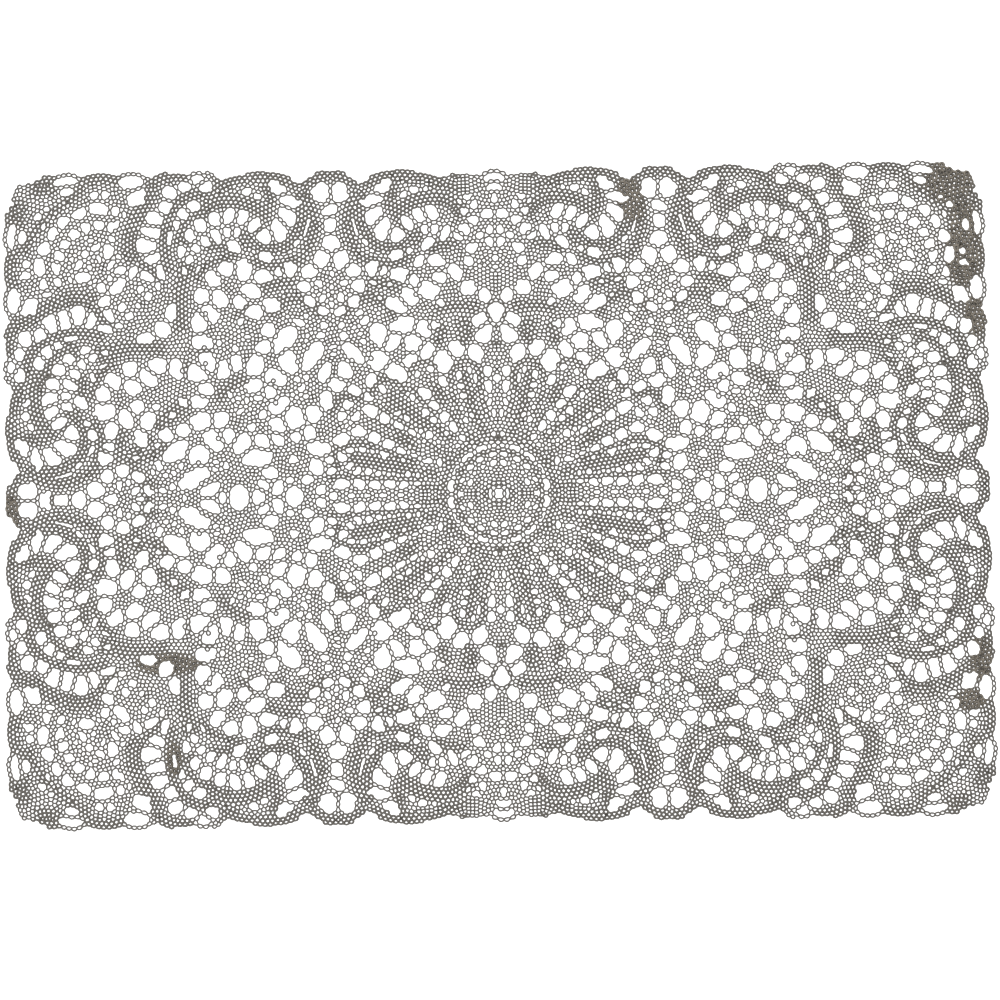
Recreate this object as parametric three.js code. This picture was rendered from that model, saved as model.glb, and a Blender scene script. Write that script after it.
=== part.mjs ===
// A moulded plastic lace placemat: one flat sheet with a scalloped edge, pierced by the larger gaps
// of the lace
import * as THREE from "three";

// Overall size of the mat, in mm
const LENGTH = 450;
const WIDTH = 300;
const THICKNESS = 1;

const HALF_LENGTH = LENGTH / 2;
const HALF_WIDTH = WIDTH / 2;

// Each corner of the mat is a square pattern that is the same on both sides of the square's diagonal.
// This is how far the square's inner corner lies from the middle of the mat, along the length.
const CORNER_START = HALF_LENGTH - HALF_WIDTH;

// Where the axis of each pair of scrolls crosses the long edge, from the middle of the mat
const SCROLL_AXIS = CORNER_START;

const GAP_SIDES = 8;
const SCALLOP_STEP = 5.8;
const SCALLOP_FULLNESS = 2.6;

// The scallops of the long edge, from its middle to the corner. Each runs from the last valley to the
// next one.
const SCALLOPS = [
  { valleyX: 6.5, valleyY: 146.6, crest: 148.8 },
  { valleyX: 25, valleyY: 145.4, crest: 147.8 },
  { valleyX: 61.5, valleyY: 143, crest: 149.4 },
  { valleyX: 88.5, valleyY: 143, crest: 149.6 },
  { valleyX: 124.5, valleyY: 145.6, crest: 149.4 },
  { valleyX: 141.5, valleyY: 148, crest: 150 },
  { valleyX: 156.5, valleyY: 147.6, crest: 149.8 },
  { valleyX: 173, valleyY: 148.2, crest: 150 },
  { valleyX: 189, valleyY: 148, crest: 149.4 },
  { valleyX: 200.5, valleyY: 148.2, crest: 150 },
  { valleyX: 210.5, valleyY: 145.4, crest: 149.6 },
];

// The corner bump, between the last valley of the long edge and that of the short edge: its height over the
// line between the two, and the share of it that is reached a quarter of the way along
const CORNER_BUMP_HEIGHT = 4.9;
const CORNER_BUMP_SHOULDER = 0.83;

// Gaps of half a pair of scrolls: distance from the pair's axis, height from the mat's middle line,
// half length, half width, and the turn of the long side in degrees
const SCROLL_GAPS = [
  { across: 4.2, up: 139.3, long: 4.6, wide: 3.5, turn: 90 },
  { across: 4.4, up: 108.4, long: 3.8, wide: 3.4, turn: 80 },
  { across: 19.4, up: 128.2, long: 5.2, wide: 2.4, turn: 50 },
  { across: 18.8, up: 135.3, long: 5, wide: 2.1, turn: 24 },
  { across: 23.8, up: 121.9, long: 5.4, wide: 2.6, turn: 69 },
  { across: 30.7, up: 119.5, long: 3.6, wide: 2.8, turn: 25 },
];

// The gap on the axis of each pair of scrolls
const SCROLL_AXIS_GAP = { up: 116, long: 3.9, wide: 3.3, turn: 0 };

// Gaps of the upper half of the corner square, repeated across its diagonal
const CORNER_GAPS = [
  { x: 166, y: 145.1, long: 6, wide: 2.6, turn: 0 },
  { x: 163.4, y: 137.5, long: 4.5, wide: 3.1, turn: -44 },
  { x: 159.6, y: 115.4, long: 4.3, wide: 3.4, turn: 0 },
  { x: 181.2, y: 132.8, long: 3.8, wide: 2.3, turn: 0 },
  { x: 114.9, y: 103.5, long: 4.8, wide: 2.9, turn: 87 },
  { x: 123.1, y: 104.6, long: 3.7, wide: 3, turn: -30 },
  { x: 129.2, y: 99.9, long: 3.9, wide: 2.8, turn: 51 },
  { x: 126.1, y: 90.7, long: 3.9, wide: 2.9, turn: 71 },
  { x: 111.8, y: 94, long: 4.6, wide: 2.8, turn: 31 },
  { x: 110.4, y: 84.8, long: 4.5, wide: 2.9, turn: 3 },
  { x: 130.3, y: 84.2, long: 4.8, wide: 2.6, turn: 42 },
  { x: 133.8, y: 70.8, long: 4.8, wide: 3.1, turn: 19 },
  { x: 110.3, y: 59.9, long: 4.6, wide: 3.9, turn: -50 },
  { x: 100.9, y: 54.5, long: 5.3, wide: 3.1, turn: 37 },
  { x: 94.6, y: 61.3, long: 4.6, wide: 3.9, turn: -72 },
  { x: 84.1, y: 63.7, long: 7.2, wide: 3.2, turn: -57 },
  { x: 96.6, y: 71.8, long: 7.2, wide: 3.4, turn: -51 },
];

// Gaps of the net round the rosette, which repeat in the four quarters only
const NET_GAPS = [
  { x: 30.7, y: 93.4, long: 4.4, wide: 3.5, turn: 0 },
  { x: 39.6, y: 90.9, long: 4.8, wide: 2.8, turn: 58 },
  { x: 45.8, y: 87, long: 5.6, wide: 2.4, turn: 35 },
  { x: 42.2, y: 77.8, long: 5.1, wide: 3.2, turn: -14 },
  { x: 54, y: 73.9, long: 5.1, wide: 3.7, turn: 74 },
  { x: 54.2, y: 61.8, long: 4.4, wide: 4.2, turn: 0 },
  { x: 65.3, y: 65, long: 5.9, wide: 2.8, turn: 45 },
  { x: 24.6, y: 60.3, long: 5.2, wide: 3.3, turn: 60 },
  { x: 18.4, y: 66.4, long: 4.2, wide: 3, turn: 50 },
  { x: 10, y: 63.4, long: 4.5, wide: 2.9, turn: 80 },
  { x: 78, y: 43.8, long: 4.6, wide: 2.8, turn: 84 },
  { x: 84.1, y: 37.4, long: 4, wide: 3.1, turn: 64 },
  { x: 92.7, y: 36.2, long: 4.8, wide: 3.9, turn: 87 },
  { x: 109.7, y: 17.9, long: 7.2, wide: 3.4, turn: -7 },
  { x: 81.9, y: 21.8, long: 5.7, wide: 2.7, turn: 9 },
];

// Gaps on the mat's two middle lines, which repeat once across the other line
const MIDDLE_GAPS = [
  { x: 0, y: 83.1, long: 4.3, wide: 3.2, turn: 90 },
  { x: 93.4, y: 0, long: 4.6, wide: 3.6, turn: 90 },
  { x: 118.5, y: 0, long: 6.2, wide: 3.9, turn: 90 },
];

// The ring of crescent gaps round the coin at the heart of the rosette
const CRESCENTS = { count: 18, radius: 22.4, long: 2.3, wide: 1.7 };

/** A point of a scallop at a share of its way from one valley to the next, rounded up to its crest. */
function scallopPoint(from, to, crest, share) {
  const chord = from.y + (to.y - from.y) * share;
  const fullness = 1 - Math.abs(2 * share - 1) ** SCALLOP_FULLNESS;
  return new THREE.Vector2(from.x + (to.x - from.x) * share, chord + (crest - chord) * fullness);
}

/** Points of the long edge from its middle to the last valley before the corner. */
function longEdge() {
  const points = [new THREE.Vector2(0, SCALLOPS[0].crest)];
  let from = new THREE.Vector2(-SCALLOPS[0].valleyX, SCALLOPS[0].valleyY);
  for (const { valleyX, valleyY, crest } of SCALLOPS) {
    const to = new THREE.Vector2(valleyX, valleyY);
    const steps = Math.round((to.x - from.x) / SCALLOP_STEP);
    for (let i = 1; i <= steps; i += 1) {
      const point = scallopPoint(from, to, crest, i / steps);
      if (point.x > SCALLOP_STEP / 2) points.push(point);
    }
    from = to;
  }
  return points;
}

/** The place on the other side of the corner square's diagonal. */
function acrossDiagonal({ x, y }) {
  return new THREE.Vector2(y + CORNER_START, x - CORNER_START);
}

/** The rounded bump between the last valley of the long edge and the first one of the short edge. */
function cornerBump(last) {
  const first = acrossDiagonal(last);
  const middle = last.clone().lerp(first, 0.5);
  const outwards = new THREE.Vector2(1, 1).normalize();
  const shoulder = CORNER_BUMP_HEIGHT * CORNER_BUMP_SHOULDER;
  const shoulders = [last, first].map((end) => {
    const between = end.clone().lerp(middle, 0.5);
    return between.addScaledVector(outwards, shoulder);
  });
  return [shoulders[0], middle.addScaledVector(outwards, CORNER_BUMP_HEIGHT), shoulders[1]];
}

/** The outline of the upper right quarter, from the middle of the long edge to that of the short edge. */
function quarterOutline() {
  const edge = longEdge();
  const last = edge[edge.length - 1];
  const shortEdge = edge
    .filter((point) => point.x >= SCROLL_AXIS - SCALLOP_STEP / 4)
    .map(acrossDiagonal)
    .reverse();
  return [...edge, ...cornerBump(last), ...shortEdge];
}

/** The whole outline, counter-clockwise, from the quarter and its three mirror images. */
function wholeOutline() {
  const quarter = quarterOutline().reverse();
  const offAxis = (point) => point.x > 1e-6 && point.y > 1e-6;
  const upperLeft = quarter.filter(offAxis).reverse();
  const upper = [...quarter, ...upperLeft.map(({ x, y }) => new THREE.Vector2(-x, y))];
  const lower = upper.filter(({ y }) => y > 1e-6).reverse();
  return [...upper, ...lower.map(({ x, y }) => new THREE.Vector2(x, -y))];
}

/** A mirror image of a gap across one or both middle lines. */
function mirrored(gap, sideX, sideY) {
  return { ...gap, x: gap.x * sideX, y: gap.y * sideY, turn: gap.turn * sideX * sideY };
}

/** A gap's image across the corner square's diagonal. */
function swapped(gap) {
  const { x, y } = acrossDiagonal(gap);
  return { ...gap, x, y, turn: 90 - gap.turn };
}

/** The gaps of both halves of the scroll pair on the long edge, and of the half pair on the short edge. */
function scrollGaps() {
  return SCROLL_GAPS.flatMap((gap) => {
    const right = { ...gap, x: SCROLL_AXIS + gap.across, y: gap.up };
    const left = { ...gap, x: SCROLL_AXIS - gap.across, y: gap.up, turn: -gap.turn };
    return [left, right, swapped(right)];
  });
}

/** The crescent gaps, which lie side by side on a circle, each with its long side along it. */
function crescentGaps() {
  const { count, radius, long, wide } = CRESCENTS;
  return Array.from({ length: count }, (_, i) => {
    const bearing = 90 + (360 * i) / count;
    const angle = THREE.MathUtils.degToRad(bearing);
    return { x: radius * Math.cos(angle), y: radius * Math.sin(angle), long, wide, turn: bearing + 90 };
  });
}

/** Every gap that is cut through the sheet. */
function allGaps() {
  const axisGap = { ...SCROLL_AXIS_GAP, x: SCROLL_AXIS, y: SCROLL_AXIS_GAP.up };
  const cornerGaps = [...CORNER_GAPS, ...CORNER_GAPS.map(swapped)];
  const quarter = [...scrollGaps(), axisGap, ...cornerGaps, ...NET_GAPS];
  const half = quarter.flatMap((gap) => [gap, mirrored(gap, 1, -1)]);
  const fourfold = half.flatMap((gap) => [gap, mirrored(gap, -1, 1)]);
  const twofold = [swapped(axisGap), ...MIDDLE_GAPS].flatMap((gap) => [gap, mirrored(gap, -1, -1)]);
  return [...fourfold, ...twofold, ...crescentGaps()];
}

/** The outline of one gap, an oval with a few straight sides. */
function gapPath({ x, y, long, wide, turn }) {
  const centre = new THREE.Vector2(x, y);
  const points = Array.from({ length: GAP_SIDES }, (_, i) => {
    const angle = (2 * Math.PI * (i + 0.5)) / GAP_SIDES;
    const point = new THREE.Vector2(long * Math.cos(angle), wide * Math.sin(angle));
    return point.rotateAround(new THREE.Vector2(), THREE.MathUtils.degToRad(turn)).add(centre);
  });
  return new THREE.Path(points);
}

/** The moulded sheet, flat on the table with its middle over the origin. */
function placemat() {
  const shape = new THREE.Shape(wholeOutline());
  shape.holes = allGaps().map(gapPath);
  const settings = { depth: THICKNESS, bevelEnabled: false, curveSegments: 1 };
  const geometry = new THREE.ExtrudeGeometry(shape, settings);
  const vinyl = new THREE.MeshStandardMaterial({ color: 0x6f6a63, roughness: 0.6, metalness: 0 });
  const mesh = new THREE.Mesh(geometry, vinyl);
  mesh.name = "placemat";
  return mesh;
}

const part = new THREE.Group();
part.add(placemat());

export default part;
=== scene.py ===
"""Looks of a plastic lace placemat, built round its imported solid.

The lace is laid out for one quarter of the mat and repeated in the other three. Its gaps come first.
Small rings are then packed round the gaps, a network of strands is drawn through the rings, and the
strands get their thickness. Lengths in the layout are in millimetres, and everything that reaches Blender
is in metres.
"""

import math
from collections import namedtuple

import bpy
import numpy as np
from bpy.props import FloatProperty, FloatVectorProperty, IntProperty, PointerProperty
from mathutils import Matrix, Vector
from mathutils.geometry import delaunay_2d_cdt


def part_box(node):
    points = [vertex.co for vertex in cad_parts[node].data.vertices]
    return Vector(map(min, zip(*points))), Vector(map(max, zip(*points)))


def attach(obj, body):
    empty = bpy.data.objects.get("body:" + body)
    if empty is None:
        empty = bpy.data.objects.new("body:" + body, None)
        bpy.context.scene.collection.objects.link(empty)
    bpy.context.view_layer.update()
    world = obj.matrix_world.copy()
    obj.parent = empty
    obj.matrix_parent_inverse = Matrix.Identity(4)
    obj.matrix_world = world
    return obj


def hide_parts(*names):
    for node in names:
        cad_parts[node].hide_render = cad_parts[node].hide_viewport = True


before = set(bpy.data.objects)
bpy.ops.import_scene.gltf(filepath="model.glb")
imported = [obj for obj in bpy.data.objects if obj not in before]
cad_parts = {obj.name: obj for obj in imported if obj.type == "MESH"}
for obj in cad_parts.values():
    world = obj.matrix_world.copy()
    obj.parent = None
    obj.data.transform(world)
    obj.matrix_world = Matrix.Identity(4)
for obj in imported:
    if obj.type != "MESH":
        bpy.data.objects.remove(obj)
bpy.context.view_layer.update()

bl_info = {
    "name": "Plastic Lace Placemat",
    "version": (1, 0, 0),
    "blender": (4, 5, 0),
    "location": "View3D > Sidebar > Placemat",
    "description": "Moulded ring lace of a placemat, with its floor, light and camera",
    "category": "Object",
}

MM = 0.001
HALF_LENGTH = 225.0
HALF_WIDTH = 150.0
SCROLL_AXIS = 75.0

# An oval gap: the place of its middle, half its length and width, and the turn of its long side in degrees.
# Many rows of the gap tables repeat ovals that another program fitted to the gaps in a picture of the mat.
Gap = namedtuple("Gap", "x y long wide turn")
# A band of rows of rings side by side: where its centre line starts, a place midway, where it ends, and
# how many rows it has.
Band = namedtuple("Band", "x0 y0 x1 y1 x2 y2 rows")
# A single ring that sticks into a gap: the place of its middle in mm.
Picot = namedtuple("Picot", "x y")

# Gaps in half of a scroll pair. x is the distance from the scroll axis, and each is drawn to both sides.
SCROLL_HEAD_GAPS = (
    Gap(35.3, 112.2, 1.9, 0.8, 48),
    Gap(0, 131, 3.2, 2.2, 0),
    Gap(0, 124, 3.3, 2.5, 90),
    Gap(24, 141.4, 4.2, 1.9, 32),
    Gap(33.7, 137.5, 1.5, 1.3, 0),
    Gap(38.4, 139.6, 2.3, 1.7, 10),
    Gap(35, 124.5, 3, 2.5, -43),
    Gap(40.2, 128.1, 3.6, 2.5, -56),
    Gap(46.3, 128.8, 3.8, 2.6, -61),
    Gap(44.2, 114.7, 3.8, 2.1, 46),
    Gap(42.8, 121.4, 2.3, 1.6, -81),
    Gap(47.4, 121.3, 2.6, 1.7, 80),
    Gap(52.4, 120, 3.2, 2, 60),
    Gap(24, 102.2, 1.6, 1.4, 0),
    Gap(11.2, 122.6, 3.8, 0.5, -68),
    Gap(16.2, 115.2, 3.4, 0.5, -56),
    Gap(22.8, 110.9, 2.4, 0.4, -18),
)
SCROLL_FOOT_GAPS = (
    Gap(0, 101.9, 1.6, 1.0, 90),
    Gap(0, 87.4, 1.2, 1.2, 0),
    Gap(10.4, 102.7, 3.3, 2.8, 0),
    Gap(18.8, 104.1, 3.3, 2.3, -82),
    Gap(31.5, 101, 4.1, 2.8, 0),
    Gap(12.4, 96, 3, 2.6, 15),
    Gap(29.3, 109.7, 2.8, 1.6, 7),
    Gap(10, 89.3, 3.4, 1.8, 44),
    Gap(3.9, 84.7, 2.7, 1.6, 25),
    Gap(4.1, 90.4, 2, 1.4, -55),
    Gap(6.1, 97.7, 1.6, 1.2, 15),
    Gap(15.3, 79.6, 1.8, 1.3, 17),
    Gap(3.8, 77.6, 1.3, 1.3, 0),
    Gap(5.1, 73.3, 1.5, 1.3, 0),
)
# Gaps in the upper half of the corner square. Each is repeated across the corner's diagonal.
SCROLL_TAIL_GAPS = (
    Gap(127.8, 127.6, 3.3, 2.6, 75),
    Gap(134.4, 124.6, 3.3, 2.5, -67),
    Gap(139.6, 119.5, 3.3, 2.1, -69),
    Gap(132.6, 117.6, 2.4, 2, 69),
    Gap(136.7, 114.1, 2, 1.9, 64),
    Gap(140, 109.6, 2.3, 1.4, -59),
    Gap(143.2, 112.6, 3, 1.5, -70),
    Gap(145.9, 125, 1.8, 1.4, -62),
    Gap(135.9, 146.4, 3, 1.7, 0),
    Gap(132, 142.1, 2.9, 2, -35),
    Gap(141.6, 142.4, 3.1, 2.3, -13),
    Gap(148.3, 139.8, 3.7, 2.9, 12),
    Gap(137.5, 133.8, 3, 2, -11),
    Gap(142.6, 129.9, 2.3, 1.9, -44),
    Gap(150.9, 133.2, 3, 2.5, -37),
    Gap(155.4, 128, 3.5, 2.8, -1),
    Gap(156.8, 121.7, 4.2, 2.5, 9),
    Gap(156.3, 109.9, 3.6, 2, -9),
    Gap(165.3, 103.5, 2.2, 1.5, -17),
    Gap(158.9, 101.7, 2.9, 1.6, 37),
    Gap(162, 96, 1.8, 1.7, 45),
    Gap(158.7, 92.2, 1.9, 1.4, 66),
)
CORNER_FAN_GAPS = (
    Gap(148.5, 119.1, 3.7, 0.6, -75),
    Gap(142.3, 104.2, 2.1, 0.9, 85),
    Gap(145.1, 105.3, 3.3, 0.6, 90),
    Gap(135.5, 104.8, 2.6, 0.5, -58),
    Gap(132.6, 109.5, 1.8, 0.6, -30),
    Gap(152.8, 103.4, 4.2, 1.2, 64),
    Gap(173.1, 131.7, 1.9, 1.5, -15),
    Gap(189.5, 130.9, 3.2, 2, -26),
    Gap(196.8, 126.9, 2.4, 1.8, -30),
    Gap(174.8, 125.2, 1.6, 1.6, 0),
    Gap(180.7, 125.5, 2.2, 1.8, 32),
    Gap(186.7, 124.1, 2.2, 2.1, 45),
    Gap(191.8, 121.4, 2.1, 1.8, -44),
    Gap(176.8, 113.2, 3.2, 2.2, -78),
    Gap(182.4, 115, 2.5, 1.5, -20),
    Gap(187, 112, 1.7, 1.4, -45),
    Gap(181.1, 110.6, 1.3, 1.2, 0),
    Gap(171.4, 104.5, 2.1, 1.7, 0),
    Gap(172.4, 97.4, 4.7, 2.1, -45),
    Gap(175.6, 100.6, 1.8, 1.3, 45),
    Gap(177.9, 139.4, 2, 1.7, -84),
    Gap(182.9, 138.9, 1.8, 1.6, 17),
    Gap(195.4, 146, 5.4, 1.9, -4),
    Gap(195.6, 140.9, 2.5, 2, -11),
    Gap(204.5, 133, 1.9, 0.9, 0),
    Gap(163.3, 88.3, 1.6, 1.3, 45),
    Gap(184, 109, 0.9, 0.9, 0),
)
CORNER_NET_GAPS = (
    Gap(195, 136.4, 0.9, 0.8, 0),
    Gap(201.2, 130.8, 1.7, 0.8, -35),
    Gap(175.6, 118.9, 1.2, 1.0, 0),
    Gap(184.8, 118.5, 1.1, 0.9, 0),
    Gap(188.3, 116.5, 0.9, 0.8, 0),
    Gap(172.9, 111.2, 1.1, 0.9, 40),
    Gap(174.8, 107.7, 1.5, 0.9, -30),
    Gap(169.2, 130, 1.7, 1.0, 80),
    Gap(168, 83.5, 1.3, 1.0, 0),
    Gap(171.9, 78.9, 1.7, 0.8, 15),
    Gap(152.1, 77.1, 3.6, 3.3, -45),
    Gap(135.6, 79.9, 4.2, 3, 86),
    Gap(116.8, 89.1, 3.3, 2.8, 42),
    Gap(102.3, 87.5, 4.2, 2.5, 18),
    Gap(103.8, 76.1, 3.6, 2.8, 62),
    Gap(106, 68.2, 3, 3, 0),
    Gap(118.7, 61.3, 3.6, 2.6, 69),
    Gap(124.7, 58, 3.4, 2.6, -75),
    Gap(131.9, 62.7, 4.5, 3.1, 54),
    Gap(134.6, 55.8, 1.8, 1.3, 14),
    Gap(116.7, 80.3, 1.9, 1.5, -69),
    Gap(119.1, 67.6, 1.7, 1.4, 82),
    Gap(110.5, 50.9, 3.8, 2.9, -28),
    Gap(103.4, 47.8, 3.1, 2.5, 37),
    Gap(99.7, 41.4, 4.7, 3, -41),
    Gap(100.6, 32.7, 4.1, 2.2, 41),
    Gap(106.7, 37.3, 1.9, 1.7, -30),
    Gap(85.7, 29.2, 3.2, 2.6, 84),
    Gap(100.3, 25.8, 3.1, 2.1, 35),
    Gap(78.6, 56.5, 4.7, 2.5, -70),
    Gap(89.2, 48.9, 1.4, 1.4, 0),
    Gap(133.8, 92.3, 3.2, 2.9, -46),
    Gap(148.2, 84.9, 3.4, 2.2, -72),
)
# Gaps that each quarter has once.
NET_GAPS = (
    Gap(7.1, 79.9, 3.9, 2.1, -46),
    Gap(5.1, 73.3, 4.8, 2.6, -60),
    Gap(4.5, 91, 3.8, 2, 66),
    Gap(12.5, 94, 3.3, 2.6, 12),
    Gap(18.5, 101.6, 4.2, 2.3, 57),
    Gap(25.4, 99.4, 3.3, 2.3, -17),
    Gap(37.3, 98, 2.6, 2.1, 18),
    Gap(25.7, 88, 1.7, 1.5, 0),
    Gap(33.6, 75.5, 4, 2.3, 61),
    Gap(38.2, 69.2, 3.8, 3.2, -46),
    Gap(47, 69.8, 4.4, 2.8, -54),
    Gap(69.7, 57.4, 3.9, 2.7, 77),
    Gap(28.6, 77.6, 1.8, 1.4, 0),
    Gap(31.8, 65.3, 3.5, 2.7, -44),
    Gap(40.1, 61.8, 3.1, 1.9, -37),
    Gap(45.5, 55.5, 5, 2.8, 26),
    Gap(36.3, 55, 1.5, 1.3, -84),
    Gap(4.8, 55.7, 2.5, 1.5, 88),
    Gap(17, 54.1, 1.5, 1.4, 0),
    Gap(10.9, 112.6, 2.6, 1.8, -38),
    Gap(12.3, 106.5, 2.5, 1.8, 72),
    Gap(27, 106.6, 4.1, 2.2, 15),
    Gap(35, 106.7, 3.4, 1.7, -44),
)
NET_PINHOLES = (
    Gap(48.7, 96.1, 1.5, 0.7, 90),
    Gap(52, 96.4, 1.4, 0.7, 90),
    Gap(55.6, 96.8, 1.1, 0.9, 0),
    Gap(53.2, 90.7, 1.5, 0.7, 80),
    Gap(56.8, 91.3, 1.6, 0.7, -35),
    Gap(68.6, 97.8, 1.7, 1.0, -20),
    Gap(67.3, 93.4, 1.2, 0.9, 60),
    Gap(74.8, 95.4, 1.1, 1.0, 0),
    Gap(74.8, 91.6, 1.0, 0.8, 90),
    Gap(74.8, 87.6, 1.3, 1.1, 0),
    Gap(64.5, 77.2, 1.2, 1.0, 0),
    Gap(62.4, 73.8, 1.3, 1.0, -20),
    Gap(61, 70.5, 1.2, 0.6, 0),
    Gap(70.6, 78.2, 1.4, 1.0, 90),
    Gap(78.2, 77.5, 1.3, 1.2, 0),
    Gap(74.6, 68.1, 1.7, 0.9, 0),
    Gap(74.6, 64.4, 1.5, 0.6, 0),
    Gap(59.3, 80.6, 1.6, 0.9, -15),
    Gap(62.2, 83.5, 1.4, 1.1, 60),
    Gap(55.3, 84.9, 1.0, 0.8, 0),
    Gap(52.5, 82.8, 0.8, 0.7, 0),
    Gap(80.8, 97.6, 1.5, 1.0, 20),
    Gap(82.2, 93.2, 1.2, 0.8, 90),
    Gap(86.5, 72.8, 1.1, 1.0, 0),
    Gap(88.3, 70, 1.2, 0.7, 0),
    Gap(84.8, 76.2, 1.0, 0.9, 0),
    Gap(86.6, 82.2, 1.2, 0.7, 0),
    Gap(89, 79.2, 1.3, 0.8, 10),
    Gap(96, 81.4, 0.8, 0.7, 0),
    Gap(113.7, 73.5, 1.8, 0.6, 0),
    Gap(126.6, 71.2, 1.4, 0.8, 0),
    Gap(126.6, 66, 0.8, 0.8, 0),
    Gap(125, 79.6, 1.4, 0.9, 0),
    Gap(87, 54.5, 1.6, 0.8, -75),
    Gap(91.5, 53.7, 1.5, 0.8, 80),
    Gap(86.6, 45.5, 0.9, 0.8, 0),
    Gap(93.1, 46.6, 1.4, 0.8, -15),
    Gap(90.4, 45.1, 1.1, 0.6, 80),
    Gap(108.5, 45.3, 2.1, 1.1, -20),
    Gap(114, 43.8, 1.6, 0.6, -45),
    Gap(117.2, 45.1, 1.3, 0.7, 85),
    Gap(121.6, 46.4, 1.5, 0.9, 80),
    Gap(119.3, 42.1, 0.9, 0.7, 0),
    Gap(112.2, 38.2, 1.4, 0.7, 85),
    Gap(117.5, 38.6, 1.4, 0.7, -40),
    Gap(148.5, 38.2, 1.5, 0.8, 85),
    Gap(151.8, 37.9, 0.9, 0.8, 0),
    Gap(169.4, 26.2, 1.6, 0.7, 0),
    Gap(176.6, 24.2, 1.8, 1.4, 0),
    Gap(163.5, 21.8, 1.7, 0.8, 0),
    Gap(155, 24.1, 1.1, 0.9, 0),
    Gap(156.5, 21.8, 0.9, 0.8, 0),
    Gap(128.6, 16.5, 1.8, 0.9, 15),
    Gap(128.8, 12.6, 1.8, 0.6, 0),
    Gap(144.8, 14.4, 1.2, 1.2, 0),
    Gap(147.7, 11.9, 1.3, 0.9, 40),
    Gap(157.4, 12.4, 1.5, 0.7, 80),
    Gap(151.5, 10.6, 1.3, 0.7, 0),
    Gap(165.2, 18.5, 1.5, 1.0, 0),
    Gap(168.5, 8.3, 1.5, 1.0, 0),
    Gap(172.2, 6.8, 2.0, 1.1, 80),
    Gap(176, 4.8, 1.3, 1.0, 0),
    Gap(162.7, 0, 1.5, 1.0, 0),
    Gap(176.1, 0, 2.1, 1.2, 0),
    Gap(142.9, 0, 1.5, 0.9, 90),
    Gap(186.4, 34, 1.3, 0.9, 30),
    Gap(214.3, 44, 2.1, 0.6, 85),
    Gap(185, 23.4, 1.8, 0.6, -70),
    Gap(184.4, 55.4, 1.9, 0.5, -65),
    Gap(196, 42.4, 2.4, 1.4, 0),
    Gap(180, 96.7, 2.0, 1.6, 70),
    Gap(185.3, 106.2, 1.4, 1.0, -40),
    Gap(194.9, 106.2, 1.1, 0.8, 0),
)
EDGE_MIDDLE_GAPS = (
    Gap(12.6, 135.8, 1.8, 1.2, 0),
    Gap(15.7, 133.8, 1.5, 0.9, 80),
    Gap(9.2, 133, 1.5, 1.1, 90),
    Gap(13.3, 130.2, 1.6, 1.0, 10),
    Gap(31.2, 140.4, 1.2, 0.7, -20),
    Gap(27.6, 121.9, 1.9, 1.3, 90),
    Gap(16.8, 118, 2.6, 1.2, 30),
    Gap(0, 107.4, 1.4, 1.2, 90),
    Gap(0, 103.7, 1.6, 1.0, 0),
    Gap(6, 105.7, 0.9, 0.8, 0),
    Gap(4.4, 111, 1.1, 1.0, 0),
    Gap(0, 145.6, 4.3, 1.7, 0),
    Gap(0, 140.8, 2.7, 1.8, 0),
    Gap(0, 135.5, 1.6, 1.3, 90),
    Gap(3.4, 128.2, 2.7, 2, -20),
    Gap(9.5, 132.3, 1.5, 1.3, 0),
    Gap(12.2, 135.6, 1.5, 1.3, 0),
    Gap(13.2, 129.8, 1.5, 1.3, 0),
    Gap(2.3, 121, 1.6, 1.3, 58),
    Gap(2.3, 115.3, 1.7, 1.6, 0),
    Gap(6.4, 118.5, 1.9, 1.5, -52),
    Gap(9.2, 125.2, 2.1, 1.8, -74),
    Gap(13.2, 120.8, 2.5, 1.9, 80),
    Gap(17.6, 118.4, 1.5, 1.2, 0),
)
ROSETTE_RIM_GAPS = (
    Gap(71, 25.7, 4.1, 2.1, -18),
    Gap(82.5, 13.5, 3.6, 2.8, 65),
    Gap(87.4, 7.7, 2.6, 2.1, -39),
    Gap(93, 17.1, 2, 1.7, 49),
    Gap(95.2, 7.4, 2, 1.5, -12),
    Gap(100.5, 3.7, 3.1, 2.5, -63),
    Gap(106.8, 5.6, 2.8, 1.9, 42),
    Gap(109.8, 0, 3.7, 2.5, 90),
    Gap(125.8, 0, 2.5, 1.8, 90),
    Gap(92.1, 27.4, 2.5, 2.1, -7),
    Gap(73.2, 50.7, 3.8, 2.1, 15),
    Gap(64.7, 48, 3, 2, 36),
    Gap(57.7, 53, 3.2, 1.9, -54),
    Gap(71.2, 36, 2.3, 1.8, -76),
    Gap(68.4, 41.2, 2.2, 1.7, -38),
    Gap(52.3, 48.3, 1.9, 1.5, 50),
    Gap(59, 45.5, 1.8, 1.2, 83),
)
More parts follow.
